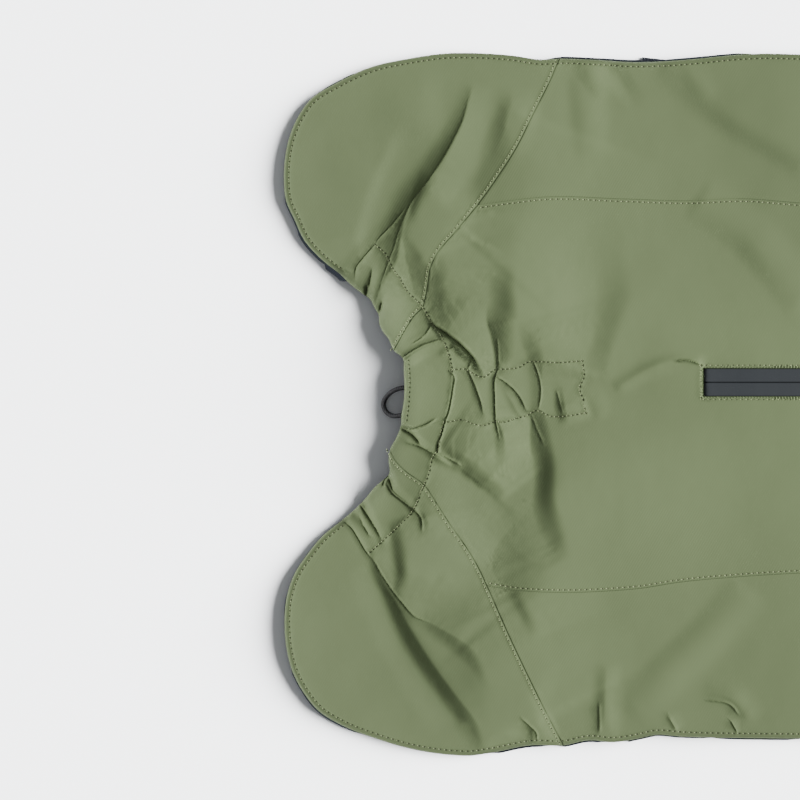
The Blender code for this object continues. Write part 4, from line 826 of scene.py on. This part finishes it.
def filled(outline, holes, lines, rings):
    """Triangles that fill an outline: its own points, those of the lines in it, and a lattice."""
    edges = []
    fixed = []
    for ring in (outline, *holes):
        first = len(fixed)
        fixed.extend(ring)
        edges.extend((first + i, first + (i + 1) % len(ring)) for i in range(len(ring)))
    fixed = np.array(fixed)
    lattice = []
    for inner, outer, spacing in rings:
        columns = np.arange(*LATTICE_X, spacing)
        rows = np.arange(*LATTICE_Y, spacing * LATTICE_ROW)
        grid = np.array([(x + (i % 2) * spacing / 2, y) for i, y in enumerate(rows) for x in columns])
        away = np.linalg.norm(grid - MESH_CENTRE, axis=1)
        grid = grid[(away >= inner) & (away < outer)]
        if len(lines) and len(grid):
            grid = clear_of(grid, lines, spacing * LATTICE_CLEARANCE)
        lattice.append(grid[inside(grid, outline)])
    loose = np.vstack(lattice)
    if len(lines):
        loose = np.vstack((lines[inside(lines, outline)], loose))
    for hole in holes:
        loose = loose[~inside(loose, hole)]
    loose = clear_of(loose, fixed, EDGE_CLEARANCE)
    points = [Vector(p) for p in np.vstack((fixed, loose))]
    corners, _, faces, _, _, _ = delaunay_2d_cdt(points, edges, [], 1, MERGE_GAP)
    corners = np.array(corners)
    middles = np.array([corners[list(face)].mean(axis=0) for face in faces])
    solid = inside(middles, outline)
    for hole in holes:
        solid &= ~inside(middles, hole)
    return corners, [face for face, keep in zip(faces, solid) if keep]


def cloth_wall(name, corners, faces, top, bottom, finish, tone=None):
    """One closed wall of cloth between an upper and a lower height at each corner."""
    used = np.unique(np.array(faces))
    number = np.full(len(corners), -1)
    number[used] = np.arange(len(used))
    count = len(used)
    places = [tuple(in_room(x, y, z)) for heights in (top, bottom)
              for (x, y), z in zip(corners[used], np.asarray(heights)[used])]
    upper = [tuple(int(number[i]) for i in reversed(face)) for face in faces]
    lower = [tuple(i + count for i in reversed(face)) for face in upper]
    ways = {(a, b) for face in upper for a, b in zip(face, face[1:] + face[:1])}
    rim = [(b, a, a + count, b + count) for a, b in ways if (b, a) not in ways]
    mesh = bpy.data.meshes.new(name)
    mesh.from_pydata(places, [], upper + lower + rim)
    build = bmesh.new()
    build.from_mesh(mesh)
    bmesh.ops.recalc_face_normals(build, faces=build.faces)
    build.to_mesh(mesh)
    build.free()
    mesh.shade_smooth()
    mesh.set_sharp_from_angle(angle=math.radians(SHARP_ANGLE))
    # A tone, where given, is painted light and shade, kept as an attribute that scales the colour
    if tone is not None:
        both_sides = mesh.attributes.new("Painted light and shade", "FLOAT", "POINT")
        both_sides.data.foreach_set("value", np.tile(tone[used], 2).astype(np.float32))
    piece = placed(name, mesh)
    piece.data.materials.append(finish)
    return piece


def thinned(curve, spacing=EDGE_SPACING):
    """A curve with fewer points where the mesh is coarse. Its ends stay."""
    kept = [curve[0]]
    for point in curve[1:-1]:
        away = np.linalg.norm(point - MESH_CENTRE)
        gap = spacing if away < COARSE_FROM else spacing * COARSE_TIMES
        to_last, to_end = np.linalg.norm(point - kept[-1]), np.linalg.norm(point - curve[-1])
        if to_last >= gap * coarseness and to_end > gap / 2:
            kept.append(point)
    return np.array(kept + [curve[-1]])


TOP_CORNER, BOTTOM_CORNER = OUTER_EDGE[0], OUTER_EDGE[-1]
HEM_RIGHT, HEM_LEFT = SHOULDER_SEAM_RIGHT[0], SHOULDER_SEAM_LEFT[0]
CROSS_RIGHT, CROSS_LEFT = LENGTH_SEAM_RIGHT[0], LENGTH_SEAM_LEFT[0]
NECK_RIGHT, NECK_LEFT = SHOULDER_SEAM_RIGHT[-1], SHOULDER_SEAM_LEFT[-1]
TAIL_RIGHT, TAIL_LEFT = LENGTH_SEAM_RIGHT[-1], LENGTH_SEAM_LEFT[-1]
BAND_RIGHT, BAND_LEFT = BAND_JOIN[0], BAND_JOIN[-1]


def cut(curve, start, end):
    """A stretch of a seam or edge, with the points that the mesh needs."""
    return thinned(stretch(curve, start, end))


panels = {
    "chest_panel_right": loop_of(
        cut(neck_edge, TOP_CORNER, NECK_RIGHT), cut(shoulder_right, NECK_RIGHT, HEM_RIGHT),
        cut(outer_edge, HEM_RIGHT, TOP_CORNER)),
    "chest_panel_left": loop_of(
        cut(neck_edge, BOTTOM_CORNER, NECK_LEFT), cut(shoulder_left, NECK_LEFT, HEM_LEFT),
        cut(outer_edge, HEM_LEFT, BOTTOM_CORNER)),
    "side_panel_right": loop_of(
        cut(shoulder_right, HEM_RIGHT, CROSS_RIGHT), cut(length_right, CROSS_RIGHT, TAIL_RIGHT),
        cut(outer_edge, TAIL_RIGHT, HEM_RIGHT)),
    "side_panel_left": loop_of(
        cut(shoulder_left, HEM_LEFT, CROSS_LEFT), cut(length_left, CROSS_LEFT, TAIL_LEFT),
        cut(outer_edge, TAIL_LEFT, HEM_LEFT)),
    "back_panel": loop_of(
        cut(shoulder_right, NECK_RIGHT, CROSS_RIGHT), cut(length_right, CROSS_RIGHT, TAIL_RIGHT),
        cut(outer_edge, TAIL_RIGHT, TAIL_LEFT), cut(length_left, TAIL_LEFT, CROSS_LEFT),
        cut(shoulder_left, CROSS_LEFT, NECK_LEFT), cut(neck_edge, NECK_LEFT, BAND_LEFT),
        cut(band_join, BAND_LEFT, BAND_RIGHT), cut(neck_edge, BAND_RIGHT, NECK_RIGHT)),
    "neck_band": loop_of(cut(band_join, BAND_RIGHT, BAND_LEFT), cut(neck_edge, BAND_LEFT, BAND_RIGHT)),
}

crease_rows = []
for _, way, _, _, _, sharpness in FOLDS:
    if np.max(sharpness) >= SHARP_FOLD:
        middle = smooth(way, FOLD_SPACING * coarseness)
        crease_rows += [beside_line(middle, away) for away in BESIDE_FOLD]
for _, way, _, half_width in CREASES:
    middle = smooth(way, CREASE_SPACING * coarseness)
    crease_rows += [beside_line(middle, share * half_width) for share in BESIDE_CREASE]
for line in (casing_line, *channel_lines):
    crease_rows += [beside_line(thinned(line, CREASE_SPACING), away) for away in BESIDE_STITCHES]


def port_outline(grow, step):
    """The port's opening, made larger on each side, with a point at each step."""
    x0, x1, y0, y1 = PORT_START - grow, PORT_END + grow, PORT_TOP - grow, PORT_BOTTOM + grow
    corners = ((x0, y0), (x1, y0), (x1, y1), (x0, y1), (x0, y0))
    sides = []
    for start, end in zip(corners, corners[1:]):
        count = max(2, round(math.dist(start, end) / step))
        sides.append(np.linspace(start, end, count, endpoint=False))
    return np.vstack(sides)


port = port_outline(0.0, PORT_STEP)
port_rows = [port_outline(away, PORT_STEP) for away in BESIDE_PORT]

shell_cloth = woven("Outer twill", (0.140, 0.183, 0.086), 0.8, 0.00115, 0.00002, rib=0.008,
                    mottle_size=0.02, mottle_contrast=0.09, direction=(-0.86, 0.5, 0.0), sheen=0.04)
# Painted shade: the shell's colour is darkened along the hem and the neck edge, standing in for shade on
# their rims
PAINTED_EDGE_SHADE = (
    # edge, how much darker, how far in
    (outer_edge, 0.28, 1.8),
    (neck_edge, 0.28, 5.0),
)
# Painted light and shade: soft patches darken the shell's colour on the lobes, the casings and the left
# shoulder, and lighten it beside the port and at the spine channel, standing in for the shading there
PAINTED_LIGHT_AND_SHADE = (
    # place, x, y, how much paler, reach towards the neck, reach towards the tail, reach across
    ("right lobe", 160, 88, -0.16, 50, 32, 46),
    ("right casing", 187, 142, -0.18, 16, 16, 24),
    ("left lobe", 158, 320, -0.16, 50, 45, 50),
    ("left lobe, low", 200, 345, -0.05, 30, 50, 30),
    ("right of the port", 392, 170, 0.16, 60, 200, 34),
    ("left of the port", 400, 226, 0.14, 100, 200, 60),
    ("left shoulder", 222, 266, -0.12, 24, 24, 28),
    ("channel", 231, 199, 0.08, 9, 8, 18),
    ("left casing", 197, 232, -0.12, 12, 10, 28),
)
# The shell's colour is scaled by the painted light and shade kept in each panel's attribute
shell_tree = shell_cloth.node_tree
painted_light_and_shade_node = linked(shell_tree, "ShaderNodeAttribute", attribute_name="Painted light and shade")
shell_colour = shell_tree.nodes["Principled BSDF"].inputs["Base Color"]
colour_with_painted_light = linked(shell_tree, "ShaderNodeVectorMath", operation="SCALE",
                 inputs={0: shell_colour.links[0].from_socket, "Scale": painted_light_and_shade_node.outputs["Fac"]})
shell_tree.links.new(colour_with_painted_light.outputs[0], shell_colour)
shell_rings = [(inner, outer, spacing * coarseness) for inner, outer, spacing in MESH_RINGS]
for name, outline in panels.items():
    closed = np.vstack((outline, outline[:1]))
    rows = []
    for away in SEAM_ROWS:
        ring = inset(outline, away)
        rows.append(ring[measure(ring, closed, RING_REACH)[0] > away * RING_CLEARANCE])
    lines = np.vstack(rows + crease_rows + (port_rows if name == "back_panel" else []))
    lines = spread(lines, POINT_GAP * coarseness)
    holes = [port] if name == "back_panel" else []
    corners, faces = filled(inset(outline, SEAM_GAP / 2), holes, lines, shell_rings)
    height = cloth_top(corners)
    # Painted light and shade at each corner: darker at the edges and in some patches, paler in others
    tone = np.ones(len(corners))
    # painted shade along the hem and the neck edge
    for line, darker, reach in PAINTED_EDGE_SHADE:
        tone -= darker * np.exp(-(measure(corners, line, 4 * reach)[0] / reach)**2)
    tone += mounds(corners, PAINTED_LIGHT_AND_SHADE)
    piece = cloth_wall("shell_" + name, corners, faces, height, height - SHELL_THICKNESS, shell_cloth,
                       tone)
    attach(piece, "coat")
    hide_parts(name)
    low, high = outline.min(axis=0), outline.max(axis=0)
    width, length = (high - low) * MM

# Lining: one piece of dark charcoal cloth under the whole coat, sewn to the shell all round in the hem. It
# ends just past the hem's edge, peeks out further at some places, and lies back at the neck. Along the top
# and bottom hems, this dark rim is partly the lining itself and partly painted shadow, standing in for the
# contact shadow at the hem.
LINING_PEEKS = (
    # place, x, y, half its length along the edge, how far it shows
    ("right lobe's top", 169.5, 41, 10, 0.4),
    ("right lobe's front", 147, 108, 12, 0.6),
    ("right lobe's front, lower", 155, 123.5, 13, 1.1),
    ("right lobe's corner", 168, 135.5, 7.5, 2.2),
    ("right hem", 300, 30.8, 28, 1.1),
    ("right hem, behind the belt", 352, 28.9, 26, 0.9),
    ("left lobe's top", 142.5, 302, 5, 0.3),
    ("left lobe's front", 150, 342, 9, 0.5),
    ("left lobe's front, lower", 163, 358.5, 22, 0.7),
    ("left lobe's end", 260, 373.4, 15, 1),
    ("left hem", 290.5, 371, 12, 1),
    ("left hem, middle", 336, 368.5, 22, 0.6),
    ("left hem, behind the belt", 378, 369.3, 24, 0.8),
)
# A hem set back under 0 lets the lining show past the whole hem, partly as painted shadow at its edge
LINING_SET_BACK, HEM_SET_BACK = 1.0, -0.15
CORD_PLACE, CORD_SET_BACK, CORD_REACH = (202.0, 200.5), 5.2, 10.0
LINING_SPACING = 3.5
LINING_RINGS = ((0.0, 120.0, LINING_SPACING), (120.0, 500.0, 9.0))

lining_cloth = woven("Lining cloth", (0.014, 0.018, 0.027), 0.8, 0.0008, 0.00004, rib=0.12,
                     sheen=0.15)
whole = loop_of(cut(outer_edge, TOP_CORNER, BOTTOM_CORNER),
                cut(neck_edge, BOTTOM_CORNER, TOP_CORNER))
on_hem = measure(whole, outer_edge, 1.0)[0] < 0.1
set_back = np.where(on_hem, HEM_SET_BACK, LINING_SET_BACK)
for _, x, y, half_length, shows in LINING_PEEKS:
    away = np.linalg.norm(whole - (x, y), axis=1)
    full = np.clip(3 * (1 - away / half_length), 0, 1)
    set_back = np.where(full > 0, np.minimum(set_back, HEM_SET_BACK - shows * full), set_back)
at_cord = np.linalg.norm(whole - CORD_PLACE, axis=1)
set_back += (CORD_SET_BACK - LINING_SET_BACK) * np.clip(2 - at_cord / CORD_REACH, 0, 1)
lining_edge = inset(whole, set_back)
corners, faces = filled(lining_edge, (), np.empty((0, 2)), LINING_RINGS)
low = np.maximum(raised(corners), belt_lift(corners))
looks = [LINING_SPACING * share * np.array((math.cos(turn), math.sin(turn)))
         for share in (0.0, 0.5, 1.0) for turn in np.linspace(0, 2 * math.pi, 8, endpoint=False)]
for look in looks:
    low = np.minimum(low, cloth_top(corners + look) - SHELL_THICKNESS - LAYER_GAP - LINING_WALL)
low = np.maximum(low, belt_lift(corners))
lining = cloth_wall("coat_lining", corners, faces, low + LINING_WALL, low, lining_cloth)
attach(lining, "coat")
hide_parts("lining")
width, length = (whole.max(axis=0) - whole.min(axis=0)) * MM

# Belly belt: a strip of dark elastic webbing, woven with ribs along its length. It is fixed beneath
# the coat and lies folded across it, so that only a little of it peeks out at each side.
RIB_PITCH, RIB_DEPTH, RIB_MIDDLE, BELT_EDGE = 1.6, 0.18, 0.2, 0.25
BELT_STEPS = 60
belt_width = float(np.linalg.norm(BELT_CORNERS[1] - BELT_CORNERS[0]))
webbing = woven("Belt webbing", (0.017, 0.02, 0.03), 0.7, 0.0007, 0.00008, rib=0.25, sheen=0.2)
rib_count = round(belt_width / RIB_PITCH)
belt_corners = []
belt_top = []
belt_steps = np.linspace(0, 1, BELT_STEPS)
belt_sides = np.linspace(0, 1, rib_count * 4 + 1)
for step in belt_steps:
    for share in belt_sides:
        right = BELT_CORNERS[0] * (1 - share) + BELT_CORNERS[1] * share
        left = BELT_CORNERS[3] * (1 - share) + BELT_CORNERS[2] * share
        belt_corners.append(right * (1 - step) + left * step)
        edge = abs(2 * share - 1)
        ribs = RIB_DEPTH * math.cos(edge * rib_count * math.pi)
        belt_top.append(BELT_WALL - RIB_MIDDLE + ribs - BELT_EDGE * edge**12)


def grid_faces(rows, columns):
    """Two triangles for each cell of a grid of points that is numbered row by row."""
    faces = []
    for i in range(rows - 1):
        for first in range(i * columns, (i + 1) * columns - 1):
            faces.append((first, first + columns, first + columns + 1))
            faces.append((first, first + columns + 1, first + 1))
    return faces


belt = cloth_wall("belly_belt_webbing", np.array(belt_corners), grid_faces(BELT_STEPS, len(belt_sides)),
                  belt_top, np.zeros(len(belt_top)), webbing)
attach(belt, "coat")
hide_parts("belly_belt")

# Leash port zip: two coated tapes, stitched down beneath the port's edges. They meet over a hidden
# coil, which presses through as a faint ridge beside the meeting line.
PORT_MIDDLE = (PORT_TOP + PORT_BOTTOM) / 2
TAPE_DROP, TAPE_WALL, TAPE_EDGE, TAPE_MEETING = 0.8, 0.9, 0.3, 0.08
TAPE_STEP, TAPE_ROWS, TAPE_END, BESIDE_TAPE = 1.5, 18, 0.25, 6.0
TAPE_ROLL = ((0, -0.5), (0.2, -0.1), (0.6, 0.16), (1.6, 0.18), (2.4, 0))
tape_cloth = woven("Coated zip tape", (0.046, 0.051, 0.056), 0.5, 0.0006, 0.00004, rib=0.05,
                   direction=(0.0, 1.0, 0.0), mottle_size=0.003, mottle_contrast=0.1)
for name, y0, y1 in (("zip_tape_right", PORT_TOP + TAPE_EDGE, PORT_MIDDLE - TAPE_MEETING),
                     ("zip_tape_left", PORT_MIDDLE + TAPE_MEETING, PORT_BOTTOM - TAPE_EDGE)):
    xs = np.arange(PORT_START + TAPE_EDGE, PORT_END - TAPE_END, TAPE_STEP)
    tape_corners = np.array([(x, y) for x in xs for y in np.linspace(y0, y1, TAPE_ROWS)])
    shell_beside = [(x, PORT_TOP - BESIDE_TAPE) for x in tape_corners[:, 0]]
    top = cloth_top(np.array(shell_beside)) - TAPE_DROP
    top += rolled(np.abs(tape_corners[:, 1] - PORT_MIDDLE), TAPE_ROLL)
    tape = cloth_wall(name + "_coated", tape_corners, grid_faces(len(xs), TAPE_ROWS), top,
                      top - TAPE_WALL, tape_cloth)
    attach(tape, "coat")
    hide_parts(name)

# Slider and pull tab: cast metal with dark satin paint. The slider runs on the zip and is parked at
# the port's tail end. The pull tab hangs in its bridge and lies along the zip, towards the neck.
slider_paint, tree, shader, place = own_nodes("Satin slider paint", 0.38, 0.5)
speckle = linked(tree, "ShaderNodeTexNoise", inputs={"Vector": place, "Scale": 900.0, "Detail": 3.0})
shade = linked(tree, "ShaderNodeMapRange",
               inputs={"Value": speckle.outputs["Fac"], "To Min": 0.8, "To Max": 1.15})
toned = linked(tree, "ShaderNodeVectorMath", operation="SCALE",
               inputs={0: (0.05, 0.055, 0.06), "Scale": shade.outputs[0]})
tree.links.new(toned.outputs[0], shader.inputs["Base Color"])
for name in ("zip_slider", "zip_pull"):
    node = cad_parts[name]
    node.data.materials.clear()
    node.data.materials.append(slider_paint)

# Topstitching: a paler green thread, sewn through the cloth along the hem, the neck, the seams, the
# spine channel and the port. Each stitch is a short piece of thread that goes down into the cloth
# at both ends, through the needle's dark holes.
STITCH_PITCH, STITCH_HALF_SHARE = 2.7, 0.36
THREAD_RADIUS, HOLE_RADIUS, HOLE_LENGTH = 0.3, 0.38, 1.5
STITCH_LIFT, STITCH_STEP = 0.2, 0.5
thread = woven("Stitching thread", (0.36, 0.42, 0.22), 0.6, 0.0003, 0.00002, rib=0.1)
needle_hole = plain_material("Needle hole", (0.055, 0.068, 0.032), 0.95)


def add_stitch_tree():
    """Stitches along a line: a thread lozenge at each pitch and a dark hole between two."""
    tree = bpy.data.node_groups.new("Topstitching", "GeometryNodeTree")
    sockets = {}
    for label, kind, value in (
            ("Line", "NodeSocketGeometry", None), ("Pitch", "NodeSocketFloat", STITCH_PITCH * MM),
            ("Thread radius", "NodeSocketFloat", THREAD_RADIUS * MM),
            ("Hole radius", "NodeSocketFloat", HOLE_RADIUS * MM),
            ("Thread", "NodeSocketMaterial", None), ("Hole", "NodeSocketMaterial", None),
            ("Seed", "NodeSocketInt", 4)):
        socket = tree.interface.new_socket(label, in_out="INPUT", socket_type=kind)
        if value is not None:
            socket.default_value = value
        sockets[label] = socket.identifier
    tree.interface.new_socket("Stitches", in_out="OUTPUT", socket_type="NodeSocketGeometry")
    given = tree.nodes.new("NodeGroupInput").outputs
    result = tree.nodes.new("NodeGroupOutput")
    curve = linked(tree, "GeometryNodeMeshToCurve", {"Mesh": given["Line"]})
    spots = linked(tree, "GeometryNodeCurveToPoints", {"Curve": curve.outputs[0], "Length": given["Pitch"]},
                   mode="LENGTH")

    def beads(radius, length, rings):
        """A small round body at each spot, drawn out along the line."""
        size = linked(tree, "ShaderNodeCombineXYZ", {"X": radius, "Y": radius, "Z": length})
        body = linked(tree, "GeometryNodeMeshUVSphere", {"Segments": 8, "Rings": rings, "Radius": 1.0})
        return linked(tree, "GeometryNodeInstanceOnPoints", {
            "Points": spots.outputs["Points"], "Instance": body.outputs["Mesh"],
            "Rotation": spots.outputs["Rotation"], "Scale": size.outputs[0]})

    chance = linked(tree, "FunctionNodeRandomValue", {"Min": 0.85, "Max": 1.12, "Seed": given["Seed"]})
    half = maths(tree, "MULTIPLY", given["Pitch"], STITCH_HALF_SHARE)
    threads = beads(given["Thread radius"], maths(tree, "MULTIPLY", half, chance.outputs["Value"]), 6)
    dots = beads(given["Hole radius"], maths(tree, "MULTIPLY", given["Hole radius"], HOLE_LENGTH), 5)
    step = linked(tree, "ShaderNodeCombineXYZ", {"Z": maths(tree, "MULTIPLY", given["Pitch"], 0.5)})
    moved = linked(tree, "GeometryNodeTranslateInstances", {
        "Instances": dots.outputs[0], "Translation": step.outputs[0]})
    joined = linked(tree, "GeometryNodeJoinGeometry")
    for source, label in ((threads, "Thread"), (moved, "Hole")):
        real = linked(tree, "GeometryNodeRealizeInstances", {0: source.outputs[0]})
        part = linked(tree, "GeometryNodeSetMaterial", {"Geometry": real.outputs[0],
                                                        "Material": given[label]})
        tree.links.new(part.outputs[0], joined.inputs[0])
    tree.links.new(joined.outputs[0], result.inputs[0])
    return tree, sockets


stitch_tree, stitch_sockets = add_stitch_tree()


def stitched(name, lines, lift=STITCH_LIFT, pitch=STITCH_PITCH, hole=HOLE_RADIUS):
    """One piece of stitching along several lines on the sheet."""
    places = []
    edges = []
    for line in lines:
        first = len(places)
        height = cloth_top(line) + lift
        places.extend(tuple(in_room(x, y, z)) for (x, y), z in zip(line, height))
        edges.extend((i, i + 1) for i in range(first, len(places) - 1))
    mesh = bpy.data.meshes.new(name)
    mesh.from_pydata(places, edges, [])
    guide = placed(name + "_line", mesh)
    sewing = guide.modifiers.new("Topstitching", "NODES")
    sewing.node_group = stitch_tree
    sewing[stitch_sockets["Pitch"]] = pitch * MM
    sewing[stitch_sockets["Thread radius"]] = THREAD_RADIUS * MM
    sewing[stitch_sockets["Hole radius"]] = hole * MM
    sewing[stitch_sockets["Thread"]] = thread
    sewing[stitch_sockets["Hole"]] = needle_hole
    sewing[stitch_sockets["Seed"]] = len(name)
    depsgraph = bpy.context.evaluated_depsgraph_get()
    made = bpy.data.meshes.new_from_object(guide.evaluated_get(depsgraph))
    guide.modifiers.clear()
    bpy.data.objects.remove(guide)
    made.name = name
    made.shade_smooth()
    piece = placed(name, made)
    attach(piece, "coat")


def evened(line):
    """A line with evenly spaced points."""
    run = np.concatenate(([0], np.cumsum(np.linalg.norm(np.diff(line, axis=0), axis=1))))
    even = np.linspace(0, run[-1], max(2, round(run[-1] / STITCH_STEP)))
    return np.column_stack((np.interp(even, run, line[:, 0]), np.interp(even, run, line[:, 1])))


HEM_LIFT, HEM_HOLE = 0.15, 0.43
stitched("hem_topstitching", [evened(beside_line(outer_edge, -HEM_STITCH)[3:-3])], lift=HEM_LIFT,
         hole=HEM_HOLE)
stitched("seam_topstitching", [
    evened(beside_line(shoulder_right, -SEAM_STITCH)[4:]),
    evened(beside_line(shoulder_left, SEAM_STITCH)[4:]),
    evened(beside_line(length_right, -FLAT_SEAM_STITCH)[3:-4]),
    evened(beside_line(length_left, FLAT_SEAM_STITCH)[3:-4])])
BAND_STITCHES = ((204.2, 180.5), (204.7, 190.0), (204.3, 200.0), (203.2, 210.0))
shown_casing = (stretch(casing_line, casing_line[0], (225.8, 186.0)),
                stretch(casing_line, (221.6, 211.5), casing_line[-1]))
band_line = smooth(BAND_STITCHES, STITCH_STEP)
stitched("neck_topstitching", [evened(line) for line in (*shown_casing, band_line)], pitch=FINE_PITCH)
stitched("channel_topstitching", [evened(line) for line in channel_lines], pitch=FINE_PITCH)
port_line = port_outline(PORT_STITCH, STITCH_STEP)
stitched("port_topstitching", [np.vstack((port_line, port_line[:1]))])
